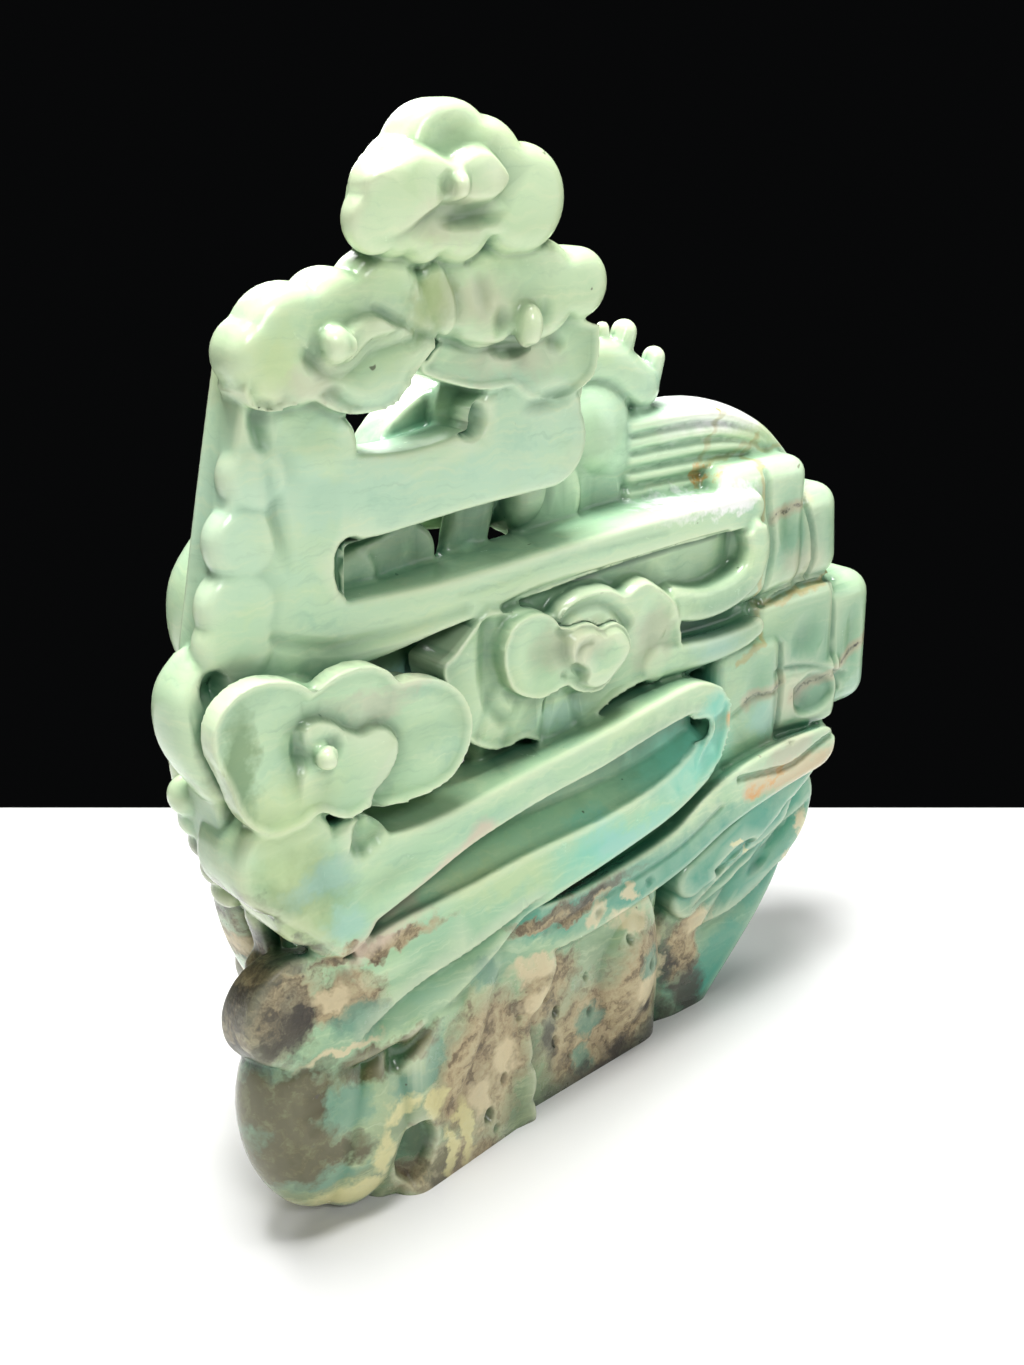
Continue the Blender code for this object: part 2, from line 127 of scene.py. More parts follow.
def within_zone(zone):
    """How squarely each point faces a zone: its side (-1 clouds, 1 dragon), least Y and greatest Y."""
    side, low, high = zone
    square = np.clip((side * facing[:, 1] - TURNED_AWAY) / TURNING, 0, 1)
    return square * (points[:, 1] > low) * (points[:, 1] < high)


def from_line(line):
    """Each point's distance from a line drawn on the face, and the side of the line it lies on."""
    line = np.array(line, float)
    flat = points[:, [0, 2]]
    low, high = line.min(axis=0) - LINE_REACH, line.max(axis=0) + LINE_REACH
    inside = np.all((flat > low) & (flat < high), axis=1)
    nearby = flat[inside]
    best = np.full(len(nearby), 1e9)
    hand = np.zeros(len(nearby))
    for start, end in zip(line, line[1:]):
        run = end - start
        share = np.clip(((nearby - start) @ run) / (run @ run), 0, 1)
        gap = nearby - start - share[:, None] * run
        length = np.hypot(gap[:, 0], gap[:, 1])
        closer = length < best
        cross = run[0] * gap[:, 1] - run[1] * gap[:, 0]
        hand = np.where(closer, np.sign(cross), hand)
        best = np.where(closer, length, best)
    distance = np.full(len(points), 1e9)
    left = np.zeros(len(points))
    distance[inside] = best
    left[inside] = hand
    return distance, left


def smooth_path(stations, steps):
    """Stations between the given ones, on a Catmull-Rom curve through them."""
    padded = [stations[0]] + list(stations) + [stations[-1]]
    path = []
    for a, b, c, d in zip(padded, padded[1:], padded[2:], padded[3:]):
        for k in range(steps):
            t = k / steps
            path.append([
                0.5 * (2 * q + (r - p) * t + (2 * p - 5 * q + 4 * r - s) * t ** 2
                       + (3 * q - p - 3 * r + s) * t ** 3)
                for p, q, r, s in zip(a, b, c, d)
            ])
    path.append(list(stations[-1]))
    return path


def cut_groove(zone, line, width, depth):
    """Sinks a rounded groove along a line; a negative depth raises a ridge."""
    distance, _ = from_line(smooth_path(line, 5))
    amount = depth * np.clip(1 - (distance / width) ** 2, 0, 1) ** 2 * within_zone(zone)
    points[:] -= facing * amount[:, None]


def cut_step(zone, line, drop, reach, crisp=0.5):
    """Sinks the face on the left of a line: most at the line, fading out over reach."""
    distance, left = from_line(smooth_path(line, 5))
    amount = np.clip(distance / crisp, 0, 1) * np.clip(1 - distance / reach, 0, 1) ** 1.5 * (left > 0)
    points[:, 1] -= zone[0] * drop * amount * within_zone(zone)


def raise_by(zone, inside, rise, edge, fade):
    """Raises the face where inside is above 0, over an edge as wide as edge, eased away along fade."""
    amount = np.clip(inside / edge, 0, 1)
    amount = amount * amount * (3 - 2 * amount) * within_zone(zone)
    if fade:
        x, z, along_x, along_z = fade
        travel = (points[:, 0] - x) * along_x + (points[:, 2] - z) * along_z
        amount *= np.clip(1 - travel / (along_x ** 2 + along_z ** 2), 0, 1)
    points[:, 1] += zone[0] * rise * amount


def raise_plate(zone, lobes, rise, edge):
    """Raises the face inside a cloud of lobes (x, z, radius); a negative rise sinks it."""
    inside = np.full(len(points), -1e9)
    for x, z, radius in lobes:
        inside = np.maximum(inside, radius - np.hypot(points[:, 0] - x, points[:, 2] - z))
    raise_by(zone, inside, rise, edge, None)


def raise_shape(zone, outline, rise, edge, fade=None):
    """Raises the face inside a closed outline, drawn through the given points."""
    line = smooth_path(outline + outline[:1], 5)
    distance, _ = from_line(line)
    crossings = np.zeros(len(points), int)
    for (x, z), (next_x, next_z) in zip(line, line[1:]):
        if abs(next_z - z) > 1e-6:
            spans = (points[:, 2] > min(z, next_z)) & (points[:, 2] <= max(z, next_z))
            crossings += spans & (points[:, 0] < x + (points[:, 2] - z) * (next_x - x) / (next_z - z))
    raise_by(zone, np.where(crossings % 2 == 1, distance, -1), rise, edge, fade)


def sink_hollow(zone, x, z, radii, depth, tilt=0.0):
    """Sinks a soft oval hollow, turned by tilt in degrees; a negative depth swells the face."""
    c, s = math.cos(math.radians(tilt)), math.sin(math.radians(tilt))
    across = ((points[:, 0] - x) * c + (points[:, 2] - z) * s) / radii[0]
    up = ((points[:, 2] - z) * c - (points[:, 0] - x) * s) / radii[1]
    amount = np.clip(1 - across ** 2 - up ** 2, 0, 1) ** 2 * within_zone(zone)
    points[:] -= facing * (depth * amount)[:, None]


def cut(work, zone, *rows):
    """Keeps cuts of one kind in one zone for after the fusing; each row holds one cut's values."""
    cuts.extend((work, zone, row) for row in rows)


cloud([(-20, 147.1, 7.8), (-26.5, 143, 5.8), (-8.2, 142.8, 6.9), (-19, 140.8, 5.6), (-10, 140.9, 5),
    (-15, 146, 7), (-25, 145.5, 5.4), (-24.5, 139.4, 4), (-28.6, 140.9, 4.5)], CROWN_FRONT, 9, rim=2.8)
cloud([(-20, 145, 5.8), (-14, 144, 5.5), (-24.5, 143, 4.8), (-19, 141.5, 4.2), (-10, 142.2, 4)], CROWN_FRONT,
    5, rim=0.8)
pebble((-30.6, -16, 147), (1.5, 2, 1.7))
pebble((-21.8, CROWN_FRONT - 0.1, 144.7), (1.3, 1.5, 1.9), tilt=6)
cloud([(-32.2, 141.1, 4.2), (-31, 144.6, 4.2)], CROWN_FRONT, 3.2, rim=1.4)
CROWN_FACE = (-1, -30, -14)
cut(sink_hollow, CROWN_FACE, (-21.5, 150.8, (9, 3.4), 0.8, 12))
cut(raise_shape, CROWN_FACE, ([(-36.6, 147), (-34.1, 147.5), (-31.2, 148.3), (-29, 149.6), (-27.2, 150),
    (-24.6, 149.3), (-22.3, 148.2), (-20.8, 148.8), (-18.4, 149.6), (-16.1, 149.3), (-13.7, 147.5),
    (-12.6, 145.7), (-13.2, 144), (-15.3, 142.5), (-18.5, 142.1), (-21.7, 142.4), (-25, 141.4), (-29, 139),
    (-35, 138), (-38.5, 142)], 2, 1.3, (-29, 144, -4, -7)))
cut(sink_hollow, CROWN_FACE, (-18.3, 140.9, (6.6, 1.9), 1.3, 3), (-23.8, 144.2, (1.6, 2.6), 0.5))


# The two tiers of cloud under the crown, and the rolled lip under them. They are undercut against
# the crown, with a ball and its tail at the left and a pill at the right carved in relief.
TIER_FRONT = -17.5
LIP_FRONT = -15.5
SLAB_SIDES, SLAB_STEPS = 52, 6


def loft(stations, squareness, fall, sides, steps):
    """A closed loft through stations (x, y, z, half_height, half_depth), square to its path."""
    path = smooth_path(stations, steps)
    shell = bmesh.new()
    rings = []
    for i, (x, y, z, half_height, half_depth) in enumerate(path):
        before, after = path[max(i - 1, 0)], path[min(i + 1, len(path) - 1)]
        along = (Vector(after[:3]) - Vector(before[:3])).normalized()
        depth_way = Vector((0, 1, 0))
        depth_way = (depth_way - along * depth_way.dot(along)).normalized()
        height_way = depth_way.cross(along).normalized()
        made = bmesh.ops.create_circle(shell, cap_ends=False, segments=sides, radius=1)
        for v in made["verts"]:
            c = math.copysign(abs(v.co.x) ** squareness, v.co.x)
            s = math.copysign(abs(v.co.y) ** squareness, v.co.y)
            spot = depth_way * (c * half_depth) + height_way * (s * half_height)
            spot.z -= fall * spot.y
            v.co = (Vector((x, y, z)) + spot) * MM
        rings.append(list({e for v in made["verts"] for e in v.link_edges}))
    for first, second in zip(rings, rings[1:]):
        bmesh.ops.bridge_loops(shell, edges=first + second)
    bmesh.ops.holes_fill(shell, edges=rings[0] + rings[-1], sides=0)
    keep(shell)


def band(stations, squareness=0.75, steps=6, sides=24):
    """A rounded band or limb with round ends."""
    loft(stations, squareness, 0.0, sides, steps)
    for x, y, z, half_height, half_depth in (stations[0], stations[-1]):
        pebble((x, y, z), (half_height, half_depth, half_height))


def slab(stations, fall=0.0, squareness=0.15):
    """A flat-faced band with crisp edges and round ends; fall is its drop towards +Y."""
    loft(stations, squareness, fall, SLAB_SIDES, SLAB_STEPS)
    for x, y, z, half_height, half_depth in (stations[0], stations[-1]):
        pad(x, z, half_height, y - half_depth, 2 * half_depth, 1.3, fall=fall)


def plate(outline, front, thickness, rim):
    """A flat cloud with a scalloped outline, drawn through the given points, and a narrow soft rim."""
    shell = bmesh.new()
    line = smooth_path(outline + outline[:1], 4)[:-1]
    border = [shell.verts.new((x * MM, front * MM, z * MM)) for x, z in line]
    face = shell.faces.new(border)
    made = bmesh.ops.extrude_face_region(shell, geom=[face], use_keep_orig=True)
    back = [v for v in made["geom"] if isinstance(v, bmesh.types.BMVert)]
    bmesh.ops.translate(shell, vec=(0, thickness * MM, 0), verts=back)
    bmesh.ops.inset_region(shell, faces=[face], thickness=rim * MM, depth=0)
    bmesh.ops.translate(shell, vec=(0, 0.7 * rim * MM, 0), verts=border)
    keep(shell)


TIER_FACE = (-1, -30, -13)
cloud([(-42, 126.8, 7.4), (-46.8, 126, 4.7), (-36, 127.4, 7), (-31.6, 124.6, 7), (-46.3, 123.4, 3.8),
    (-26.5, 128, 6), (-29, 132, 5.4), (-36, 130, 5.6)], TIER_FRONT, 8, rim=2.6)
cloud([(4.1, 131.2, 4.9), (-3.5, 130.9, 6.8), (-13, 130.6, 7), (-20, 131.2, 5.6), (-8, 134, 5.4)], TIER_FRONT,
    9, rim=2.6)
plate([(8.4, 125.2), (8.5, 121.7), (8, 119), (6.1, 117), (2.7, 115.7), (-1.1, 115.6), (-4.7, 116.7),
    (-7.4, 118.3), (-10.1, 118.3), (-13.5, 118.4), (-16.9, 119.3), (-20.2, 120.4), (-23.1, 121.9),
    (-21.5, 123.5), (-17.7, 126), (-10.1, 127), (0.7, 127)], LIP_FRONT, 9, rim=1.1)
plate([(-50.2, 122.4), (-49.2, 120.4), (-47.2, 119.6), (-45.1, 119.6), (-43, 120), (-40.4, 120.2),
    (-38.7, 119.2), (-36.5, 118.2), (-33.6, 117.7), (-30.5, 117.9), (-28.2, 118.6), (-26.6, 120.1),
    (-24.9, 122.1), (-23, 123.9), (-21.6, 126), (-26, 130), (-36, 131), (-46, 129)], TIER_FRONT + 0.2, 7,
    rim=1)
pebble((-37.9, TIER_FRONT - 0.5, 126.8), (2.2, 1.9, 2.4))
pebble((-7.2, TIER_FRONT - 0.5, 126.6), (1.9, 2.2, 3), tilt=4)
cut(raise_shape, TIER_FACE, ([(-36.6, 128.8), (-34.3, 129.8), (-32.3, 130.2), (-30.6, 129.9), (-29, 128.9),
    (-26.8, 127.9), (-28.7, 127.3), (-30.4, 126.9), (-32.4, 126.6), (-33.8, 125.7), (-34.8, 124.8),
    (-36.8, 124.3)], 1.2, 0.9))
cut(cut_step, TIER_FACE, ([(-25.5, 127), (-28.6, 126.5), (-32.2, 125.8), (-34, 124.6), (-36.2, 123.5),
    (-38.6, 123.8), (-40.4, 125.4)], 0.8, 4), ([(-20.9, 134.5), (-19.2, 131), (-19.1, 127.7), (-20.4, 125.4)],
    0.6, 3), ([(-25, 135.2), (-25.9, 132.4), (-27.3, 128.4)], -0.35, 3))
cut(cut_groove, TIER_FACE, ([(-31.6, 130.6), (-27.8, 128.7), (-23.2, 126.6), (-19.2, 125.2), (-13.4, 124),
    (-4.7, 123.3)], 1, 0.4))
cut(sink_hollow, TIER_FACE, (-40.6, 125.8, (1.8, 3), 0.5), (-11.2, 127.2, (2.2, 3.2), 0.8), (-3.6, 127.6,
    (2, 3.4), 0.6, -10), (-14.5, 131.6, (2.2, 4.2), 0.35, 12), (-8, 123, (4, 1.6), 0.7), (0.6, 123.4,
    (2.4, 1.8), 0.6))


# The upright screen at the left and the flat bands that run out of it to the right, with long slots
# cut right through the block between them. Its outer edge is worked into a row of knuckles.
SCREEN_FRONT = -15.0
SCREEN_MIDDLE = SCREEN_FRONT + 4.5
SCREEN_FACE = (-1, -18, -12)
KNUCKLES = ((-47.7, 111.3, 4.7), (-50.0, 103.4, 5.0), (-51.2, 95.2, 5.5), (-51.8, 90.4, 5.6))

slab([(-42, SCREEN_MIDDLE, 124, 6.5, 4.5), (-43, SCREEN_MIDDLE, 112, 8.2, 4.5),
    (-45, SCREEN_MIDDLE, 95, 9.8, 4.5), (-46.5, SCREEN_MIDDLE, 82, 10.4, 4.5),
    (-46, SCREEN_MIDDLE, 62, 10, 4.5)])
for x, z, size in KNUCKLES:
    pad(x, z, size, SCREEN_FRONT - 0.3, 4.4, 1.8)
slab([(-40, SCREEN_MIDDLE, 106.5, 6.6, 4.5), (-26, SCREEN_MIDDLE, 106.4, 5.2, 4.5),
    (-14, SCREEN_MIDDLE, 107.6, 5.4, 4.5), (0.3, SCREEN_MIDDLE, 109.6, 6.8, 4.5)])
slab([(-10, SCREEN_MIDDLE, 114, 4, 4.5), (0.5, SCREEN_MIDDLE, 113.5, 5.6, 4.5)])
pad(-37.6, 113.4, 5, SCREEN_FRONT, 9, 1.4)
slab([(-42, -9, 88, 5, 6), (-30, -9, 88.4, 4.4, 6), (-18, -9, 89.3, 3.5, 6), (0, -9, 90.6, 3.1, 6),
    (20, -9, 92, 2.9, 6), (38, -9.5, 92.6, 2.9, 5.5), (44.5, -10, 92.8, 2.8, 5)])
cut(raise_plate, SCREEN_FACE, ([(-34.4, 98.9, 2.9), (-34.4, 97.4, 3.1), (-34.3, 96.1, 2.9),
    (-31.5, 97.4, 3.8)], -2.2, 0.8), ([(-14.6, 114.6, 3.3), (-16.6, 115.6, 3.2)], -2.2, 1.6))
cut(sink_hollow, SCREEN_FACE, (0, 115.8, (7, 2.2), 0.8, 10))
cut(sink_hollow, (-1, -18, -8), (-47.3, 117.6, (2.2, 4.4), 1.2, 8))
cut(sink_hollow, (-1, -18, -11), (-45.6, 107, (2, 10), 0.5, 10), (-38, 112.6, (6, 4), -0.4))
cut(cut_groove, SCREEN_FACE, ([(-17, 90.5), (-13.4, 90.5), (-8.8, 90.8), (1.6, 92), (13.7, 92.3), (24, 92.4)],
    0.6, 0.14), ([(-47, 90.4), (-43.2, 88.7), (-37.2, 87.3), (-27.4, 87.2), (-16, 88)], 1.6, 0.3))


# The clouds of the cloud side: the big raised one at the left with its heart-shaped curl, the middle
# one with its spiral, and the ribbons that run from it to the right. Each stands on a lower layer.
BIG_FRONT = -21.6
MIDDLE_FRONT = -16.4
BIG_FACE = (-1, -26, -16)
MIDDLE_FACE = (-1, -19, -12)

plate([(-45.1, 84.2), (-42.1, 85.9), (-39.4, 86.4), (-36.2, 86.1), (-33.5, 84.6), (-31.8, 82.7), (-29, 82.6),
    (-25.5, 81.6), (-22.5, 79.7), (-20.4, 76.6), (-19.8, 73.3), (-20.8, 69.9), (-23.3, 66.9), (-27, 65.6),
    (-31.2, 65.2), (-34.7, 65.4), (-37.5, 66.2), (-40.4, 65.6), (-42.5, 66.3), (-45.2, 67.9), (-47.9, 67),
    (-51.1, 66.7), (-53.1, 67.1), (-55.4, 68.7), (-57, 71.4), (-57.8, 74.1), (-58.8, 76.8), (-59.6, 78.8),
    (-60, 81), (-59.6, 83.4), (-58.2, 85.6), (-55.6, 87.2), (-52.6, 87.7), (-49.3, 87.1), (-46.6, 85.8)],
    BIG_FRONT, 3.8, rim=1.2)
cloud([(-46.5, 77.5, 7.4), (-36, 76.5, 7.4), (-27.5, 74, 6.4)], BIG_FRONT + 3, 8, rim=0.8)
pebble((-44.2, BIG_FRONT - 0.3, 75.6), (1.7, 1.5, 1.7))
cut(cut_step, BIG_FACE, ([(-47.1, 76.4), (-46.9, 78.2), (-46.6, 79.7), (-44.8, 80.2), (-42.2, 79.3),
    (-40.4, 77.8), (-37.9, 76.6), (-35.7, 76.9), (-33.5, 76.1), (-32.1, 74.1), (-32.5, 71.7), (-34, 69.6),
    (-36, 68.1), (-37.8, 65.4)], 1.6, 7.5, 0.4))
cut(sink_hollow, BIG_FACE, (-46.9, 76.4, (1.6, 3.4), 0.9, 6), (-42.4, 76.4, (2.2, 2.4), 0.5, 6))
cut(sink_hollow, (-1, -17.5, -6), (-55.6, 85.4, (2.4, 3.4), 2.8))
cut(sink_hollow, BIG_FACE, (-25.5, 74.5, (5.5, 4), 0.4))

plate([(-12, 87), (-14.6, 85.4), (-18.2, 82.1), (-20.6, 80.1), (-18.9, 74), (-16.3, 68.7), (-13.7, 66.6),
    (-10.7, 65.4), (-8.4, 65.3), (-5.9, 66), (-1.9, 64.3), (1.1, 63.8), (4.8, 64.8), (9.4, 66.1),
    (11.9, 67.5), (17.9, 68.9), (22.4, 69.2), (27.6, 70), (27.4, 74.4), (26.8, 77.8), (25.8, 80.7),
    (23.6, 82.9), (21.3, 84.6), (18.4, 86.3), (15.8, 86), (13.6, 85.1), (10.6, 86.6), (7.5, 87), (4.5, 86.8),
    (1.5, 85.7), (-0.6, 84.1), (-3.7, 85.8), (-8, 86.4)], MIDDLE_FRONT + 0.4, 9, rim=1)
plate([(-9, 85.2), (-6.2, 85.9), (-3.7, 85.6), (-1.9, 84.5), (-0.4, 82.9), (1.6, 82.3), (3.4, 82.5),
    (5.6, 82.2), (7.5, 81), (9.1, 81.3), (10.8, 81.2), (12.9, 79.5), (13.9, 77.1), (12.7, 74.9), (10.6, 73),
    (8, 71.2), (5.3, 71.2), (2.8, 72.1), (0.8, 73.5), (-1.2, 73.1), (-3.6, 72.7), (-5.5, 72.9), (-8, 74),
    (-9.9, 75.6), (-11, 78.1), (-11.4, 80.5), (-11, 82.6), (-10.1, 84.2)], MIDDLE_FRONT - 1.9, 4, rim=0.7)
CURL_FACE = (-1, -25, -15)
cut(raise_shape, (-1, -17.2, -14), ([(-0.6, 83.9), (1.5, 85.7), (4.5, 86.8), (7.5, 87), (10.6, 86.6),
    (13.6, 85.1), (15.8, 86), (18.4, 86.3), (21.3, 84.6), (23.6, 82.9), (25.8, 80.7), (26.8, 77.8),
    (26.8, 73.4), (22.9, 69.4), (14.4, 67.3), (8, 67.2), (1.8, 68.4), (-0.3, 75.2)], 1.5, 0.8,
    (10, 82, 2, -9.5)))
cut(cut_groove, CURL_FACE, ([(-0.2, 82.4), (1.4, 83.9), (4.2, 84.7), (8, 84.6), (12, 82.6), (14.6, 79.8)],
    1.6, 0.6))
cut(raise_shape, CURL_FACE, ([(0.9, 76.6), (0, 78.6), (0.1, 80.4), (1.2, 81.6), (3.2, 82), (5.4, 81.6),
    (7.4, 80.5), (8.9, 80.8), (10.6, 80.7), (12.4, 79.2), (13.3, 77.1), (12.3, 75.2), (10.3, 73.5),
    (7.9, 71.9), (5.4, 71.8), (3.2, 73), (3.6, 75.2)], 1.3, 0.7))
cut(cut_groove, CURL_FACE, ([(4.6, 79.8), (2.8, 79.6), (1.9, 78.2), (2, 76.6), (3.2, 75.2)], 0.9, 0.4))
cut(sink_hollow, CURL_FACE, (-3.6, 79.4, (5.4, 6.4), 0.9, 4), (6.8, 77.4, (4, 3.4), 0.3, -30), (20.4, 79,
    (4.4, 5.6), 0.5), (0.2, 75.2, (0.9, 1.1), 0.5))
cut(cut_groove, MIDDLE_FACE, ([(-12.6, 85), (-13, 81.4), (-12.8, 76.9), (-11.6, 72.6), (-9.4, 70)], 1.9, 0.6))
for line in ([(-9.6, 65.6), (-8.2, 68.6), (-7, 71.4)], [(-2, 64.6), (-1.4, 67.4), (-0.6, 70.6)],
        [(5.4, 65.4), (4.6, 68.2), (4.2, 70)], [(-14, 68.6), (-12.6, 72), (-11, 75.6)]):
    cut(cut_groove, MIDDLE_FACE, (line, 1.3, 0.25))

band([(25, -11.6, 80.6, 3, 4.2), (32, -11.8, 79, 2.9, 4.2), (38.5, -12, 79.6, 2.9, 4.2),
    (43.6, -12, 82, 2.9, 4.2), (45.2, -12, 86, 2.8, 4.2), (44.4, -12, 89.6, 2.6, 4.2)], squareness=0.45)
slab([(-8, -9, 85.4, 4.6, 4), (10, -9, 86.6, 5, 4), (26, -9, 85.5, 6, 4), (40, -8, 84, 6.5, 4)])
slab([(14, -7, 70, 5, 3.6), (30, -7, 72, 7, 4), (44, -7, 74, 8, 4)])
slab([(22, -11, 70.4, 3.2, 5), (34, -11, 69.8, 2.7, 5), (43, -11.4, 70.4, 2.3, 4.4),
    (46.5, -11.6, 71.4, 1.9, 4)], fall=0.2, squareness=0.5)
cut(cut_groove, (-1, -19, -10), ([(-9, 86.8), (-1.4, 88.2), (10.6, 88.6), (19.1, 88.9), (30.2, 89.5),
    (38, 89.6)], 1.1, 0.7))

slab([(-8, -8, 63.6, 4, 4), (10, -8, 66, 4, 4), (30, -8, 68.6, 4, 4)])

# Inside the slots: the curtain of stone at the back of them, and two locks that cross the long one.
slab([(-25, -3.5, 97, 6, 3), (-19.4, -2.5, 106.9, 6, 3.2), (-13.3, -2, 111.3, 6, 3.5), (-8, -2, 114, 5, 3.5)])
slab([(-30, -6, 94, 4, 2.6), (-18.4, -3.4, 94.5, 4.6, 2.6)])
band([(3, 8, 98, 4.2, 3), (-2, 3, 95, 4.4, 3), (-6, -2, 93, 4.2, 3), (-8, -6, 88, 4, 3)])
band([(-5.4, -3.6, 102, 4.2, 1.6), (-7.2, -3.6, 95, 4, 1.6), (-9.4, -3.6, 88, 4.2, 1.6)], squareness=0.6)
band([(9, 8, 96, 3, 3), (5, 1, 95.4, 3, 3), (2.6, -5, 99, 3.2, 3), (2.8, -6, 105, 3.2, 3)])
slab([(8, -2, 98, 7, 3.5), (18, 0, 97, 7, 4)])
slab([(-22, -1, 77, 7, 4), (-8, -1, 78, 8, 4)])
slab([(-2, -8, 116, 6, 3), (4, -8, 116, 6, 3)])
pebble((-5, -6.6, 113.4), (10, 5.4, 8.4))


# The lower screen and the three heavy bands that sweep up to the right. Each overhangs the next,
# with a deep channel under it, and each has a crisp edge along its top, made pale by a painted highlight.
LOWER_FRONT = -21.0
LOWER_FACE = (-1, -24, -14)

cloud([(-50, 62, 7.6), (-45, 55.5, 7.6), (-41.8, 51, 6.2), (-40, 58, 7)], LOWER_FRONT, 12, rim=1.5)
slab([(-40, -15, 54, 7, 6), (-30, -15, 55.6, 5, 6), (-20, -15, 57.8, 3.4, 6), (-7, -15, 60.3, 2.9, 6),
    (6, -14.5, 61.9, 2.9, 6), (18, -14, 63.9, 2.7, 6), (28, -13.5, 64.6, 2.7, 5.5),
    (34, -13.2, 62.2, 2.8, 5)], fall=0.06)
slab([(-48.8, -15.5, 37.2, 8.4, 4.2), (-42, -14, 34, 9.4, 6.5), (-31, -13, 35.4, 9.8, 8),
    (-20, -13, 38.4, 8, 8), (-8, -13, 42.4, 5.4, 8), (8, -13, 44.6, 4.2, 7.5), (22, -12.5, 47.2, 4, 7),
    (31.5, -12, 50.6, 4.2, 6)], fall=0.3)
slab([(-33, -14.4, 46.8, 3, 5), (-20, -14.4, 49, 3, 5), (-8, -14.4, 50.6, 3, 5), (8, -14.2, 51.2, 3, 5),
    (22, -13.6, 53.4, 3, 5), (31, -13.2, 56.4, 2.8, 4.6)], fall=-0.72)
plate([(27.2, 66.6), (33.4, 65.6), (36.8, 62.6), (37.4, 59.2), (36.9, 55.5), (35, 52), (32, 50), (29, 50.6),
    (30.6, 55), (33, 57.4), (32.4, 60.2), (27.6, 61.6)], -18.5, 8, rim=1.2)
slab([(-34, -9, 46, 6, 6), (-16, -9, 50, 6, 6), (4, -9, 55, 6.5, 6), (24, -9, 58, 8, 6)])
cut(raise_plate, (-1, -24, -16), ([(-38.4, 63, 2.5), (-38.5, 61, 2.5), (-36.6, 62, 2.6)], -0.9, 1.6))
cut(cut_step, LOWER_FACE, ([(-10.5, 40.6), (-14.5, 39.4), (-20.2, 37.8), (-27.6, 36.4), (-33, 34.6),
    (-36.2, 32.8)], 1.9, 6.5, 0.4), ([(-62, 60), (-56.5, 57.6), (-50, 52.5), (-44.5, 46.8), (-42, 43)], -0.6,
    7))
cut(sink_hollow, LOWER_FACE, (-50, 57.5, (5, 8), -0.6, 35), (-34, 54.5, (9, 3.6), 0.5, 14), (-36, 40.2,
    (9, 2.6), -0.5, 4))


# The rock the carving stands on: brown, pitted stone with a panel sunk into it, the draped lobe at
# the left, the broad ledge over it and the leaning ledges of teal stone at the right.
BASE_FRONT = -19.0


def chunk(low, high, rounding, turn=0.0, lean=0.0):
    """A rounded block of rock between two corners, turned about Z and leaned about Y, in degrees."""
    low, high = Vector(low), Vector(high)
    middle = (low + high) / 2
    place = (Matrix.Translation(middle * MM) @ Matrix.Rotation(math.radians(turn), 4, "Z")
             @ Matrix.Rotation(math.radians(lean), 4, "Y") @ Matrix.Diagonal((*((high - low) * MM), 1)))
    shell = bmesh.new()
    made = bmesh.ops.create_cube(shell, size=1, matrix=place)
    edges = {e for v in made["verts"] for e in v.link_edges}
    bmesh.ops.bevel(
        shell, geom=list(edges), offset=rounding * MM, segments=6, affect="EDGES", profile=0.5, material=-1)
    keep(shell)


slab([(-8.5, -12, 32.2, 4.2, 7), (2, -12, 31.2, 4.6, 7), (14, -12, 32.7, 4.5, 7), (26, -12, 35.5, 4.4, 7),
    (38, -11.5, 40, 5, 6.5), (52, -11, 42.5, 4.8, 6.5), (64.5, -11, 43.4, 4, 6)], fall=0.45)
slab([(-14, -9, 40, 6, 6), (10, -8, 40, 7, 6), (34, -7, 48, 7, 7)])
pebble((-45.5, -14, 18.5), (10.5, 7.5, 17.5), tilt=-10)
pebble((-38, -15, 14), (9, 7, 14.5), tilt=12)
band([(-12, -13, 36, 3, 5), (-17.6, -15.2, 30, 3.6, 5), (-21.8, -16.6, 22.5, 4.4, 4.6),
    (-25.6, -17.6, 15, 3.6, 3.8), (-26.6, -18, 11.5, 1.6, 3)], squareness=0.5)
band([(-20, -14, 29, 4.4, 4.4), (-30, -14.5, 22, 6.4, 5), (-40, -15, 18, 7, 5)], squareness=0.9)
pebble((-32, -15, 6), (5.5, 5.5, 9), tilt=24)
chunk((-36, BASE_FRONT - 1.5, -8), (-9, 16, 32), 4, turn=8)
cloud([(-9, 27, 8), (-11.8, 19, 5.6), (-12.2, 13.5, 6.4), (-11.8, 7, 6.8), (-12, 0.5, 7), (-14, 24, 7)],
    BASE_FRONT + 0.1, 12, rim=1.5)
chunk((-14, BASE_FRONT + 3.4, -8), (28.4, 18, 33), 6, turn=4)
pebble((18, -9, 16), (10.4, 8.6, 15))
slab([(19, 1, -6, 12, 13), (34, 1, 8, 12, 13), (48, 0.5, 22, 12, 12.5), (58, 0, 33, 12, 11.5)])
slab([(35, -8.5, 24, 4.4, 5), (48, -8, 28.8, 5.2, 5), (58, -7.5, 34.5, 5.2, 5)], squareness=0.3)
slab([(34, -9.5, 28.5, 3.8, 5.6), (46, -9.4, 33, 4.6, 5.6), (56, -9.2, 38.2, 4.6, 5.4), (65, -8.6, 42, 4, 5)],
    squareness=0.3)
FOLD_FACE = (-1, -27, -12)
cut(cut_step, FOLD_FACE, ([(-35.4, 0), (-35.6, 5.8), (-34.8, 9.8), (-32.8, 12.4), (-30.2, 13.6), (-28, 12.6),
    (-26.4, 10.2)], -0.2, 3))
cut(raise_shape, FOLD_FACE, ([(-34.6, 4), (-34.6, 8.8), (-33, 11.8), (-30.4, 13), (-28.2, 12), (-27.2, 8.6),
    (-28.8, 4.4), (-31.6, 1)], -2.4, 1.4))
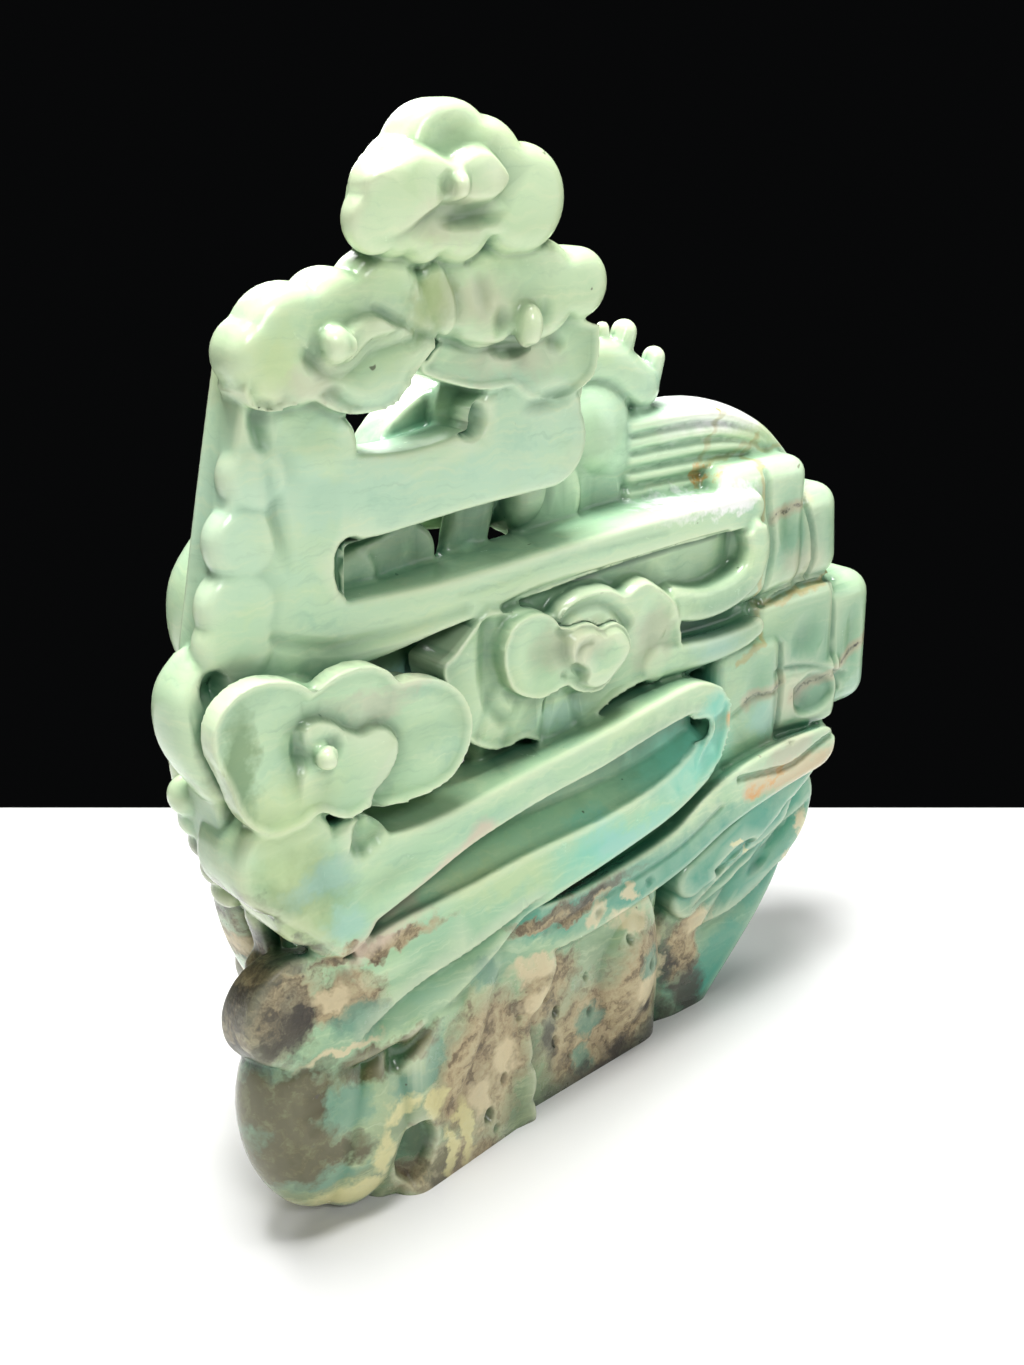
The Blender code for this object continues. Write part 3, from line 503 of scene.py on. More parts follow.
cut(sink_hollow, (-1, -26, -12), (-31.5, 26, (7, 2.2), 1.4, 38))
cut(sink_hollow, (-1, -26, -10), (-46, 23, (6, 7), 0.5))
cut(cut_step, (-1, -24, -12), ([(-5, 1), (-4.9, 7.1), (-5.9, 11.3), (-6.2, 17.1), (-4.2, 21.8), (-0.6, 27.5)],
    -0.4, 5))
cut(cut_step, (-1, -22, -10), ([(24.2, 27.5), (26.7, 19.8), (27.4, 14.5), (28.6, 8.7), (27.8, 2)], 1.6, 6))
for x, z, size in ((-12.7, 11.1, 0.9), (-16, 5.9, 1.3), (-14.4, 2.7, 0.8), (-1.5, 20.2, 0.9),
        (7.9, 19.7, 0.7), (17.3, 23.6, 0.9), (22.4, 17, 0.9), (0.8, 10.6, 0.8), (9, 12.5, 0.8),
        (-9.4, 20.5, 0.6), (1, 16, 1), (4.4, 6.2, 0.7)):
    cut(sink_hollow, (-1, -26, -10), (x, z, (size, size * 1.5), 1.5 * size))
cut(cut_groove, (-1, -24, -12), ([(-4.2, 34), (7.4, 35.6), (15.6, 36.9), (26.5, 39.2), (36.5, 42.8)], 0.7,
    0.35))
LEDGE_FACE = (-1, -20, -6)
cut(raise_shape, LEDGE_FACE, ([(38.6, 28.6), (44.6, 31.6), (49.6, 31.8), (50.2, 29.2), (46, 28),
    (41.4, 25.6)], -1.6, 1.2))
cut(cut_step, LEDGE_FACE, ([(66, 38.6), (62.4, 35), (60.2, 30.9), (54.3, 28.6), (49.6, 27.8), (44, 25.8),
    (38.6, 23.4)], 1.3, 5, 0.4), ([(66.2, 31.4), (60.9, 29), (55.1, 26), (48.4, 24.6), (44.6, 21.4),
    (41.6, 18.4)], 1, 4.5, 0.4), ([(66, 22.6), (59.6, 21.3), (54.5, 18.9), (47.8, 16.7), (40.6, 16)], 1.1, 6,
    0.4))
cut(sink_hollow, LEDGE_FACE, (58.6, 34.4, (3, 1.6), 0.7, 36), (54.6, 23.6, (4.2, 1.6), 0.7, 20))
for x, z in ((7.4, 33.2), (12.6, 29.4), (1.8, 29), (18.5, 35.2)):
    cut(sink_hollow, (-1, -24, -10), (x, z, (1.1, 1.3), 0.5))


# The stepped rock that closes the right end, like broken columns, with seams between its blocks.
chunk((40, -13, 75), (61, 12, 99.3), 3.4)
chunk((54, -12, 74), (71.9, 11, 92.4), 4, lean=-6)
chunk((48, -13, 50), (71.5, 13, 76.4), 3.6)
chunk((62, -12.2, 49), (83.3, 10.8, 74.8), 4.6, lean=-2)
chunk((38, -14, 46), (55.6, 13, 69.2), 3)
chunk((50, -12, 45), (70, 12, 60), 4)
chunk((50, -13.4, 48.5), (73.5, 8, 62.8), 3, lean=7)
for x, z, size in ((54.0, 47.4, 2.2), (57.8, 46.4, 2.0), (61.0, 46.6, 1.8)):
    pebble((x, -11.6, z), (size * 1.2, 2.4, size))
slab([(34, -2, 80, 8, 8), (46, -2, 86, 11, 9)])
chunk((22, -8, 62), (44, 5, 90), 3)
chunk((26, -7, 42), (44, 6, 72), 3)
chunk((22, -8, 12), (46, 10, 42), 4)
slab([(42, -9.6, 44.6, 2.4, 4.6), (52, -9, 42.4, 2.6, 4.6), (62, -8.4, 43.4, 2.6, 4.6),
    (70, -8, 45.4, 2.2, 4.4)], squareness=0.5)
STEP_FACE = (-1, -18, -5)
cut(sink_hollow, STEP_FACE, (56.5, 88, (4.4, 7), 0.7, 6))
cut(cut_groove, STEP_FACE, ([(61.4, 95), (61.6, 90), (63.4, 85.4), (64.2, 80.6), (63.6, 77.2)], 0.9, 0.9),
    ([(49.6, 97.6), (50, 92), (51.8, 85.4), (51, 79.4), (50.4, 75)], 1, 0.6))
cut(cut_step, STEP_FACE, ([(50, 74.6), (54.6, 76), (59.4, 76.4), (67.9, 76.4), (72.6, 75.8)], 1.2, 4, 0.4))
cut(cut_groove, STEP_FACE, ([(50.4, 74.6), (59.4, 76), (68.2, 75.8), (73, 74.6)], 0.8, 0.7), ([(69.4, 75.6),
    (70.6, 68), (71.2, 60), (73.4, 54)], 0.9, 0.8))
cut(sink_hollow, STEP_FACE, (62.5, 66.4, (5, 5.6), 0.7, -10), (77, 63, (3.2, 8), 0.5))
cut(cut_step, STEP_FACE, ([(73.6, 57.4), (66, 60.6), (60, 62), (55.8, 62.4)], 0.8, 4))
cut(raise_shape, STEP_FACE, ([(59, 57.8), (64.6, 59.6), (70.6, 57.6), (71.6, 53.4), (66, 50.6), (60, 52.4)],
    -1, 1.6))
cut(cut_groove, STEP_FACE, ([(55.4, 66.4), (56, 60), (55.6, 53), (55, 49.6)], 0.8, 0.9))
cut(sink_hollow, STEP_FACE, (48.8, 60, (4.2, 6.4), 0.5))
cut(cut_groove, STEP_FACE, ([(42.6, 56.6), (48, 58.4), (55, 58.2)], 0.8, 0.35), ([(41, 46.6), (48.9, 45.6),
    (55.6, 45), (64.1, 47.2), (72, 48.6)], 0.9, 0.9))


# The dragon on the far side: its body in one long S, with its head, antlers, mane, legs and tail.
# Its scales, fin rays, eye and mouth are cut into the fused stone further down.
BODY = [(19, 1, 107, 9.6, 7), (29, 5, 97, 8.4, 7.5), (37, 10, 84, 7.6, 7), (33, 13, 73, 7.2, 7),
    (19, 14, 69, 7, 7), (3, 14, 72, 6.8, 7), (-13, 13, 77, 6.4, 6.8), (-29, 11, 80, 6, 6),
    (-42, 9, 75, 5.6, 5.6), (-46, 8, 65, 5, 5.4), (-41, 9, 53, 4.6, 5), (-27, 11, 43, 4.4, 5),
    (-8, 14, 38, 4.2, 5), (12, 15, 38, 3.8, 4.6), (29, 14, 47, 3, 3.8), (40, 13, 56, 2, 2.6)]
PAW_CLAWS = 4


def leg(stations):
    """A dragon's leg with four claws spread from its paw."""
    band(stations, squareness=1.0)
    x, y, z = stations[-1][:3]
    for k in range(PAW_CLAWS):
        turn = math.radians(150 + 34 * k)
        knuckle = (x + 4 * math.cos(turn), y + 1.0, z + 4 * math.sin(turn))
        tip = (x + 7.4 * math.cos(turn), y - 0.2, z + 7.4 * math.sin(turn))
        band([(x, y, z, 2.2, 2.4), (*knuckle, 1.7, 1.9), (*tip, 0.9, 1.1)], squareness=1.0)


band(BODY, squareness=1, steps=8, sides=30)
pebble((-1, 6, 112), (13, 5, 8))
band([(19, 8, 108, 7.6, 7), (9, 11, 105.5, 6.6, 6.6), (0, 13, 102.5, 4.8, 5.4), (-7, 14.5, 101.5, 4, 4.6)],
    squareness=0.9)
pebble((-9, 15, 103), (3.4, 4.6, 3))
for y in (6.5, 16.5):
    pebble((9, y, 109.5), (4.6, 2.6, 2.8), tilt=14)
band([(15, 9, 98, 4, 5), (5, 11.5, 94.6, 2.8, 4.4), (-4, 13, 94.2, 2.2, 3.4)], squareness=0.9)
band([(14, 0, 117, 3, 3), (22, -2, 117.5, 3.4, 2.6), (30, -2, 112.5, 3.4, 2.6)], squareness=0.8)
for x, z, reach, size in ((22, 118, -0.6, 1.1), (24.6, 117, 1.4, 2.1), (31.5, 112.5, 1.2, 1.9)):
    band([(x, -2, z, size, size), (x + reach, -2, z + 4.4, size, size)], squareness=1.0)
slab([(28, 0, 103, 6, 4), (44, 0, 102.5, 6, 4.4), (56, 0, 98.5, 4.6, 4.4)])
for k in range(5):
    spread = k / 4
    band([(26, 0, 107 - 11 * spread, 2, 5), (42, -1, 107.5 - 11 * spread, 2.1, 6),
          (54, -1, 103.5 - 7 * spread, 2, 6), (63, -1, 96.8 - 2 * spread, 1.8, 5)], squareness=1.0)
leg([(33, 14, 80, 6, 5), (22, 17.8, 82, 4.6, 4), (12, 18.8, 78, 3.4, 3.4), (8, 18.8, 79.5, 2.6, 2.8)])
leg([(-26, 13, 74, 6, 5), (-22, 17, 65, 4.4, 4), (-14, 18, 59, 3.2, 3.2), (-13, 18, 55, 2.6, 2.8)])
for k in range(5):
    flare = math.radians(20 + 32 * k)
    tip = (40 + 9 * math.cos(flare), 13, 57 + 9 * math.sin(flare))
    band([(39, 13, 55, 2.4, 2.6), (*tip, 1.2, 1.4)], squareness=1.0)


# The clouds and rock on the dragon side with the pearl, and the frilled edge of the block at the
# left, where the backs of the clouds show past the screen.
cloud([(-24, 27, 8), (-14, 25, 8), (-33, 25, 6), (-5, 26, 7), (4, 25, 7)], 8, 11, rim=3)
cloud([(22, 30, 9), (34, 38, 9), (46, 42, 8), (13, 26, 7)], 6, 13, rim=3)
cloud([(-26, 12, 9), (-12, 11, 8), (2, 12, 9), (18, 13, 9)], 9, 10, rim=3)
cloud([(-25, 62, 6.5), (-14, 63, 6), (-3, 62, 6), (8, 60.5, 6.5), (19, 58, 7)], -3, 12, rim=2.5)
pebble((-14, 15, 89), (5, 5, 5))
cloud([(-22, 92, 5), (-29, 90, 6), (-33, 97, 5), (-22, 85, 5)], 4, 7, rim=2)
band([(-40, -7, 92, 5, 4), (-32, 2, 92, 4.5, 5), (-26, 6, 90, 4, 4)])
band([(-56, -11, 88, 2.6, 3.5), (-58.4, -10.5, 84, 2.6, 4.5), (-58.2, -10.5, 78, 2.6, 5),
    (-55.5, -12, 72, 2.4, 4)])
band([(-43, 5, 99, 2.2, 4), (-46.5, 6, 92, 2.8, 5), (-46.6, 6, 84, 2.8, 5), (-42, 6, 78, 2.6, 5)],
    squareness=0.8)
band([(-46.5, 1, 54, 3, 3.6), (-45, 2, 44, 3.2, 4.4), (-40, 4, 33, 4, 5), (-32, 6, 22, 5, 6)])
for k in range(4):
    pebble((-48.5 + 0.8 * k, 4, 63 - 4 * k), (3.2, 4, 2.4), tilt=30)
for x, z, size in ((-55.4, 67.6, 2.6), (-54.4, 63.8, 2.3), (-53.2, 60, 2.2), (-51.6, 55.6, 2.4),
        (-50.4, 51.6, 2.2)):
    pebble((x, -4.5, z), (size, 3.4, size * 1.1), tilt=24)
band([(-52, -7, 66, 3, 4), (-49, -6.5, 58, 3, 4), (-46.5, -6, 50, 3, 4)])
band([(-48.6, -9, 49, 1.6, 2.4), (-47.6, -9.5, 43.6, 1.5, 2.4), (-49.6, -9.5, 40.6, 1.5, 2.4)])


# The finer lines of the dragon side: rows of scales down the body, strands in the mane, the eye and
# the mouth, curls in the clouds and a few ledges in the rock. They are plainer than the cloud side.
DRAGON_FACE = (1, 2, 26)
SCALE_LONG = 3.6
SCALE_WIDE = 3.4
SCALE_TIP, SCALE_BOW, SCALE_FADE = 0.95, 2.4, 0.5
NEAR_SKIN = 1.4
CURL_STEPS = 14
CURL_TURN = 30
CURL_CLOSING = 16


def cut_scales(zone, stations, depth):
    """Cuts staggered rows of round scales into a body that runs through the stations."""
    travelled = 0.0
    nearest = np.full(len(points), 1e9)
    along, across = np.zeros(len(points)), np.zeros(len(points))
    on_body = np.zeros(len(points), bool)
    path = np.array(smooth_path(stations, 8), float)
    for start, end in zip(path, path[1:]):
        run = (end - start)[[0, 2]]
        reach = math.hypot(*run)
        offset = points[:, [0, 2]] - start[[0, 2]]
        share = np.clip(offset @ run / reach ** 2, 0, 1)
        gap = offset - share[:, None] * run
        distance = np.hypot(gap[:, 0], gap[:, 1])
        skin = start[1] + start[4] * np.sqrt(np.clip(1 - (distance / start[3]) ** 2, 0, 1))
        closer = (distance < nearest) & (distance < start[3])
        nearest = np.where(closer, distance, nearest)
        along = np.where(closer, travelled + share * reach, along)
        across = np.where(closer, (run[0] * gap[:, 1] - run[1] * gap[:, 0]) / reach, across)
        on_body = np.where(closer, np.abs(points[:, 1] - skin) < NEAR_SKIN, on_body)
        travelled += reach
    row = np.floor(along / SCALE_LONG)
    column = across / SCALE_WIDE + 0.5 * (row % 2)
    column -= np.floor(column) + 0.5
    past_rim = along / SCALE_LONG - row - (SCALE_TIP - SCALE_BOW * column ** 2)
    amount = depth * (past_rim > 0) * np.clip(1 - past_rim / SCALE_FADE, 0, 1) * on_body
    points[:] -= facing * (amount * within_zone(zone))[:, None]


def curl(x, z, radius, turn, hand=1):
    """Points on a curl that closes in on (x, z)."""
    line = []
    for k in range(CURL_STEPS):
        angle = math.radians(turn + hand * CURL_TURN * k)
        reach = radius * (1 - k / CURL_CLOSING)
        line.append((x + reach * math.cos(angle), z + reach * math.sin(angle)))
    return line


cut(cut_scales, DRAGON_FACE, (BODY, 0.5))
for x, z, radius, turn, hand in ((-24, 27, 5.4, 80, 1), (-5, 26, 4.8, 100, -1), (22, 30, 6, 60, 1),
        (34, 38, 6, 100, -1), (46, 42, 5.4, 60, 1), (-26, 11, 6, 90, -1), (-6, 11, 5.4, 80, 1),
        (18, 12, 6, 110, -1), (-25, 62, 4.2, 80, 1), (-3, 62, 4, 100, -1), (19, 58, 4.6, 60, 1),
        (-29, 91, 4, 90, 1)):
    cut(cut_groove, (1, -2, 26), (curl(x, z, radius, turn, hand), 0.9, 0.7))
for k in range(9):
    spread = k / 8
    cut(cut_groove, (1, 0, 12), ([(30, 108 - 13 * spread), (42, 108.6 - 13 * spread),
        (53, 105 - 9.6 * spread), (61, 99 - 4 * spread)], 0.6, 0.35))
eyelid = [(9 + 3.4 * math.cos(0.7 * k), 109.6 + 2.4 * math.sin(0.7 * k)) for k in range(10)]
cut(cut_groove, (1, 8, 26), (eyelid, 0.6, 0.5))
cut(cut_groove, (1, 4, 26), ([(2, 111.6), (7, 113.6), (12, 113.4), (16, 111)], 1.2, -0.8))
cut(cut_groove, (1, 6, 26), ([(-10, 98.8), (-4, 98.4), (3, 99.6), (9, 101.8), (14, 103.4)], 0.9, 0.8))
cut(sink_hollow, (1, 10, 26), (-10.6, 104, (1.1, 0.9), 0.9))
cut(cut_groove, (1, 12, 26), (curl(-14, 89, 3, 30), 0.5, 0.4))
for z in (5, 9.5, 19, 34):
    cut(cut_groove, DRAGON_FACE, ([(-34, z), (-20, z + 1.6), (-4, z - 0.8), (12, z + 1.2), (30, z + 3),
        (46, z + 8)], 1, 0.5))


# The whole block. The real carving is one stone, sawn, drilled, ground and then polished by hand, so
# the shells are fused on a fine grid, polished, cut with the lines kept above and eased once more.
GRID = 0.4
POLISH_PASSES = 2
MOST_TRIANGLES = 190000
EDGE_ROUNDS = 5
HOLLOW_ROUNDS = 70
EDGE_FULL = 0.16
HOLLOW_FULL = 1.5
SKY_WAYS = 26
SHADE_REACH = 14
CLEAR_OF_STONE = 0.25
GRAZING = 0.12

fused = bpy.data.meshes.new("fused")
block.to_mesh(fused)
block.free()
rough = bpy.data.objects.new("rough_block", fused)
bpy.context.scene.collection.objects.link(rough)
fuse = rough.modifiers.new("fuse", "REMESH")
fuse.mode = "VOXEL"
fuse.voxel_size = GRID * MM
polish = rough.modifiers.new("polish", "SMOOTH")
polish.factor = 0.5
polish.iterations = POLISH_PASSES
skin_mesh = bpy.data.meshes.new_from_object(rough.evaluated_get(bpy.context.evaluated_depsgraph_get()))
bpy.data.objects.remove(rough)

points = np.empty(len(skin_mesh.vertices) * 3, np.float32)
skin_mesh.vertices.foreach_get("co", points)
points = points.reshape(-1, 3).astype(float) / MM
facing = np.zeros_like(points)
read_facing()
for work, zone, row in cuts:
    work(zone, *row)
    read_facing()


def evened(values, rounds):
    """Evens a value out over neighbouring points, as many rounds as given."""
    for _ in range(rounds):
        sums = [np.bincount(near, column[far], len(points)) + np.bincount(far, column[near], len(points))
                for column in values.T]
        values = np.stack([each / neighbours for each in sums], axis=1)
    return values


sides = np.empty(len(skin_mesh.edges) * 2, np.int32)
skin_mesh.edges.foreach_get("vertices", sides)
near, far = sides.reshape(-1, 2).T
neighbours = np.maximum(np.bincount(near, minlength=len(points)) + np.bincount(far, minlength=len(points)), 1)
close = evened(points, EDGE_ROUNDS)
proud = ((points - close) * facing).sum(axis=1)
broad = ((points - evened(close, HOLLOW_ROUNDS)) * facing).sum(axis=1)
# The edge mark feeds a painted highlight on thin edges; the crease and hollow marks feed painted shade in
# creases and hollows.
for name, amount in (("edge", proud / EDGE_FULL), ("crease", -proud / EDGE_FULL),
        ("hollow", -broad / HOLLOW_FULL)):
    mark = skin_mesh.attributes.new(name, "FLOAT", "POINT")
    mark.data.foreach_set("value", evened(np.clip(amount, 0, 1)[:, None], 2).ravel().astype(np.float32))

carving = bpy.data.objects.new("calcite_dragon_carving", skin_mesh)
bpy.context.scene.collection.objects.link(carving)
ease = carving.modifiers.new("ease", "SMOOTH")
ease.factor = 0.5
ease.iterations = 1
thin = carving.modifiers.new("thin", "DECIMATE")
thin.ratio = min(1.0, MOST_TRIANGLES / (2 * len(skin_mesh.polygons)))
finished = bpy.data.meshes.new_from_object(carving.evaluated_get(bpy.context.evaluated_depsgraph_get()))
carving.modifiers.clear()
carving.data = finished

flat = bmesh.new()
flat.from_mesh(finished)
bmesh.ops.bisect_plane(flat, geom=flat.verts[:] + flat.edges[:] + flat.faces[:], dist=1e-07,
    plane_co=(0, 0, 0), plane_no=(0, 0, 1), clear_inner=True)
bmesh.ops.holes_fill(flat, edges=[e for e in flat.edges if e.is_boundary], sides=0)
bmesh.ops.triangulate(flat, faces=[f for f in flat.faces if len(f.verts) > 4])
flat.to_mesh(finished)
flat.free()
finished.shade_smooth()

# How much of the sky each point of the finished stone is shut off from by the stone around it.
places = [v.co.copy() for v in finished.vertices]
outward = np.array([tuple(v.normal) for v in finished.vertices])
tree = BVHTree.FromPolygons(places, [tuple(face.vertices) for face in finished.polygons])
starts = [at + v.normal * CLEAR_OF_STONE * MM for at, v in zip(places, finished.vertices)]
shut = np.zeros(len(places))
seen = np.full(len(places), 1e-6)
for k in range(SKY_WAYS):
    rise = 1 - (2 * k + 1) / SKY_WAYS
    round_turn = k * math.pi * (3 - math.sqrt(5))
    flat_part = math.sqrt(1 - rise * rise)
    way = Vector((flat_part * math.cos(round_turn), flat_part * math.sin(round_turn), rise))
    square = outward @ np.array(way)
    for i in np.nonzero(square > GRAZING)[0]:
        reach = tree.ray_cast(starts[i], way, SHADE_REACH * MM)[3]
        seen[i] += square[i]
        if reach is not None:
            shut[i] += square[i] * (1 - reach / (SHADE_REACH * MM)) ** 0.5
mark = finished.attributes.new("shade", "FLOAT", "POINT")
mark.data.foreach_set("value", (shut / seen).astype(np.float32))

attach(carving, "root")
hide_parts("dragon_cloud_carving")


# The stone itself: waxy banded calcite, mint green above, teal at the lower right and brown, pitted
# rock at the foot, with cream flecks, ochre seams and fine dark lines. It is polished all over; its thin
# edges get a painted highlight, and its hollows, creases and slots get painted shade, deeper and greener.
def tone(red, green, blue):
    """A colour mixed from red, green and blue between 0 and 255."""
    shares = [c / 255 for c in (red, green, blue)]
    return (*(c / 12.92 if c <= 0.04045 else ((c + 0.055) / 1.055) ** 2.4 for c in shares), 1)


class Layer:
    """One value or colour of the stone, held as a socket; a sum on layers adds its Math nodes."""

    def __init__(self, socket):
        self.socket = socket

    @staticmethod
    def node(kind, settings, sockets, out=0):
        """Adds a node, with its settings first and then the values or links of its sockets."""
        made = stone.node_tree.nodes.new("ShaderNode" + kind)
        for name, value in settings.items():
            if name == "stops":
                while len(made.color_ramp.elements) < len(value):
                    made.color_ramp.elements.new(1)
                for stop, (at, colour) in zip(made.color_ramp.elements, value):
                    stop.position = at
                    stop.color = colour
            else:
                setattr(made, name, value)
        for name, value in sockets.items():
            if isinstance(value, Layer):
                stone.node_tree.links.new(value.socket, made.inputs[name])
            else:
                made.inputs[name].default_value = value
        return Layer(made.outputs[out])

    def worked(self, operation, first, second, clamp=False):
        """A Math node on two values."""
        return Layer.node("Math", {"operation": operation, "use_clamp": clamp}, {0: first, 1: second})

    def __add__(self, other):
        return self.worked("ADD", self, other)

    def __sub__(self, other):
        return self.worked("SUBTRACT", self, other)

    def __rsub__(self, other):
        return self.worked("SUBTRACT", other, self)

    def __mul__(self, other):
        return self.worked("MULTIPLY", self, other)

    def __or__(self, other):
        """The greater of two layers: a patch that covers both."""
        return self.worked("MAXIMUM", self, other)

    __radd__ = __add__
    __rmul__ = __mul__

    def held(self):
        """The layer held between 0 and 1."""
        return self.worked("ADD", self, 0.0, clamp=True)


def moved(vector, scale, shift=(0, 0, 0)):
    """A place stretched by scale and moved by shift."""
    return Layer.node("VectorMath", {"operation": "MULTIPLY_ADD"}, {0: vector, 1: scale, 2: shift})


def laid(under, over, cover):
    """One colour laid over another, as thickly as cover says."""
    return Layer.node("Mix", {"data_type": "RGBA"}, {0: cover, 6: under, 7: over}, 2)


def grain(vector, scale, detail, out=0, roughness=0.5):
    """Cloudy noise in the stone: its strength (out 0) or three values at once (out 1)."""
    values = {"Vector": vector, "Scale": scale, "Detail": detail, "Roughness": roughness}
    return Layer.node("TexNoise", {}, values, out)


def within(vector, crisp):
    """1 near the middle of a stretched place, falling to 0 at a distance of 1 from it."""
    reach = Layer.node("VectorMath", {"operation": "LENGTH"}, {0: vector}, 1)
    return Layer.node(
        "Math", {"operation": "MULTIPLY_ADD", "use_clamp": True}, {0: reach, 1: -crisp, 2: crisp})


def patches(spots, crisp, through=(0, 400)):
    """Softly ended patches of one colour (x, z, half width, half height) that run through the stone."""
    whole = None
    y, depth = through
    for x, z, half_width, half_height in spots:
        one = within(moved(wandering, (1 / half_width, 1 / depth, 1 / half_height),
                           (-x / half_width, -y / depth, -z / half_height)), crisp)
        whole = one if whole is None else whole | one
    return whole


def seam(line, half_width, crisp=1.5):
    """A seam that runs through the stone along a line of (x, z)."""
    whole = None
    for (x, z), (next_x, next_z) in zip(line, line[1:]):
        run = ((next_x - x) / half_width, 0, (next_z - z) / half_width)
        square = run[0] ** 2 + run[2] ** 2
        offset = moved(trembling, (1 / half_width, 0, 1 / half_width), (-x / half_width, 0, -z / half_width))
        unit = [c / square for c in run]
        share = Layer.node("VectorMath", {"operation": "DOT_PRODUCT"}, {0: offset, 1: unit}, 1).held()
        back = Layer.node("VectorMath", {"operation": "SCALE"}, {0: [-c for c in run], "Scale": share})
        one = within(Layer.node("VectorMath", {"operation": "ADD"}, {0: offset, 1: back}), crisp)
        whole = one if whole is None else whole | one
    return whole


def broken(cover):
    """A patch whose edge is eaten into by the mottling of the stone."""
    return (cover * 1.2 + mottle * 1.5 - 0.9).held() * (cover * 6).held()


stone = bpy.data.materials.new("banded_calcite")
stone.use_nodes = True
shader = stone.node_tree.nodes["Principled BSDF"]

spot = moved(Layer.node("TexCoord", {}, {}, 3), (1000, 1000, 1000))
drift = moved(grain(spot, 0.06, 1.0, 1), (16, 16, 16), (-8, -8, -8))
shiver = moved(grain(spot, 0.3, 3.0, 1, 0.6), (7, 7, 7), (-3.5, -3.5, -3.5))
wandering = Layer.node(
    "VectorMath", {"operation": "ADD"}, {0: moved(drift, (0.5, 0.5, 0.5), spot), 1: shiver})
trembling = moved(grain(spot, 0.2, 3.0, 1, 0.6), (4, 4, 4), moved(spot, (1, 1, 1), (-2, -2, -2)))
# The edge mark is used for a painted highlight; the crease, hollow and shade marks are used for painted
# shade.
edge = Layer.node("Attribute", {"attribute_name": "edge"}, {}, 2)
crease = Layer.node("Attribute", {"attribute_name": "crease"}, {}, 2)
hollow = Layer.node("Attribute", {"attribute_name": "hollow"}, {}, 2)
shade = Layer.node("Attribute", {"attribute_name": "shade"}, {}, 2)
height = Layer.node("SeparateXYZ", {}, {0: moved(drift, (0.8, 0.8, 0.8), spot)}, 2)
wisps = grain(moved(wandering, (0.55, 0.55, 1.5)), 0.11, 4.0)
mottle = grain(wandering, 0.36, 4.0, 0, 0.62)
fine = grain(spot, 1.3, 3.0, 0, 0.6)
streaks = grain(moved(trembling, (0.09, 0.09, 1.1)), 1.0, 4.0, 0, 0.6)

BANDS = ((0.02, (116, 132, 96)), (0.13, (130, 152, 114)), (0.22, (146, 184, 146)), (0.31, (160, 204, 164)),
    (0.45, (182, 214, 172)), (0.58, (188, 220, 180)), (0.7, (188, 222, 192)), (0.82, (188, 216, 172)),
    (0.96, (200, 226, 180)))
STONE_HEIGHT = 155
colour = Layer.node(
    "ValToRGB", {"stops": [(at, tone(*mixed)) for at, mixed in BANDS]}, {0: height * (1 / STONE_HEIGHT)})
colour = laid(colour, tone(206, 226, 168), 0.45 * (2.0 - wisps * 4.0).held())
colour = laid(colour, tone(128, 184, 166), 0.4 * (wisps * 5.0 - 2.9).held())
colour = laid(colour, tone(222, 232, 188), 0.34 * (streaks * 5.0 - 2.6).held())
colour = laid(colour, tone(132, 172, 144), 0.3 * (2.2 - streaks * 5.0).held())
for tint, cover, crisp, spots in (
    # Darker teal over the stepped rock at the right: partly the stone's own tone, partly painted shade where
    # the light falls off.
    ((92, 146, 118), 0.7, 1.4, [(66, 60, 28, 24), (40, 74, 14, 12), (60, 84, 16, 14), (24, 58, 22, 8)]),
    # Darker yellow-green, mostly at the left of the lower screen under the big cloud: partly the stone's own
    # tone, partly painted shade.
    ((112, 146, 98), 0.8, 1.6, [(-51, 57, 11, 9), (-52, 50, 9, 7), (-23, 130, 4, 6), (-56, 78, 4, 9)]),
    ((38, 146, 124), 0.56 + 0.6 * wisps, 2, [(66, 24, 36, 22), (42, 33, 25, 11), (18, 36, 20, 6.5),
        (52, 4, 26, 16), (0, 38, 14, 5)]),
    ((116, 208, 184), 0.85, 1.4, [(30, 53, 16, 8), (34, 62, 8, 5), (10, 46, 18, 5)]),
    # Painted highlight: pure white along the top of the mane and along the top edge of the long band.
    ((255, 255, 255), 0.95, 1.8, [(48, 107.6, 18, 6), (36, 94.6, 14, 2)]),
    ((200, 214, 150), 0.45, 1.6, [(-50, 65, 8, 8), (-50, 51, 6, 6), (-50, 71, 9, 5), (-14, 47, 12, 4),
        (-23.1, 131, 3.6, 5), (54, 102, 9, 3), (-47, 126, 5, 6)]),
    ((196, 194, 166), 0.6, 1.5, [(-23, 141, 8, 4), (-8, 121, 12, 4), (-42, 122, 8, 4), (-15, 130, 9, 5),
        (-36, 81, 8, 3), (2, 80, 10, 5), (20, 76, 7, 7), (60, 80, 8, 6), (60, 57, 8, 5), (-28, 83, 12, 1.6)]),
    ((160, 204, 194), 0.5, 1.6, [(11, 46.5, 10, 3), (52, 54.8, 6, 5), (79.5, 51.4, 5, 6), (2, 67, 9, 2.4),
        (37, 71, 8, 3), (-46, 58, 7, 4), (-43, 49.6, 4, 4)]),
):
    colour = laid(colour, tone(*tint), cover * patches(spots, crisp))

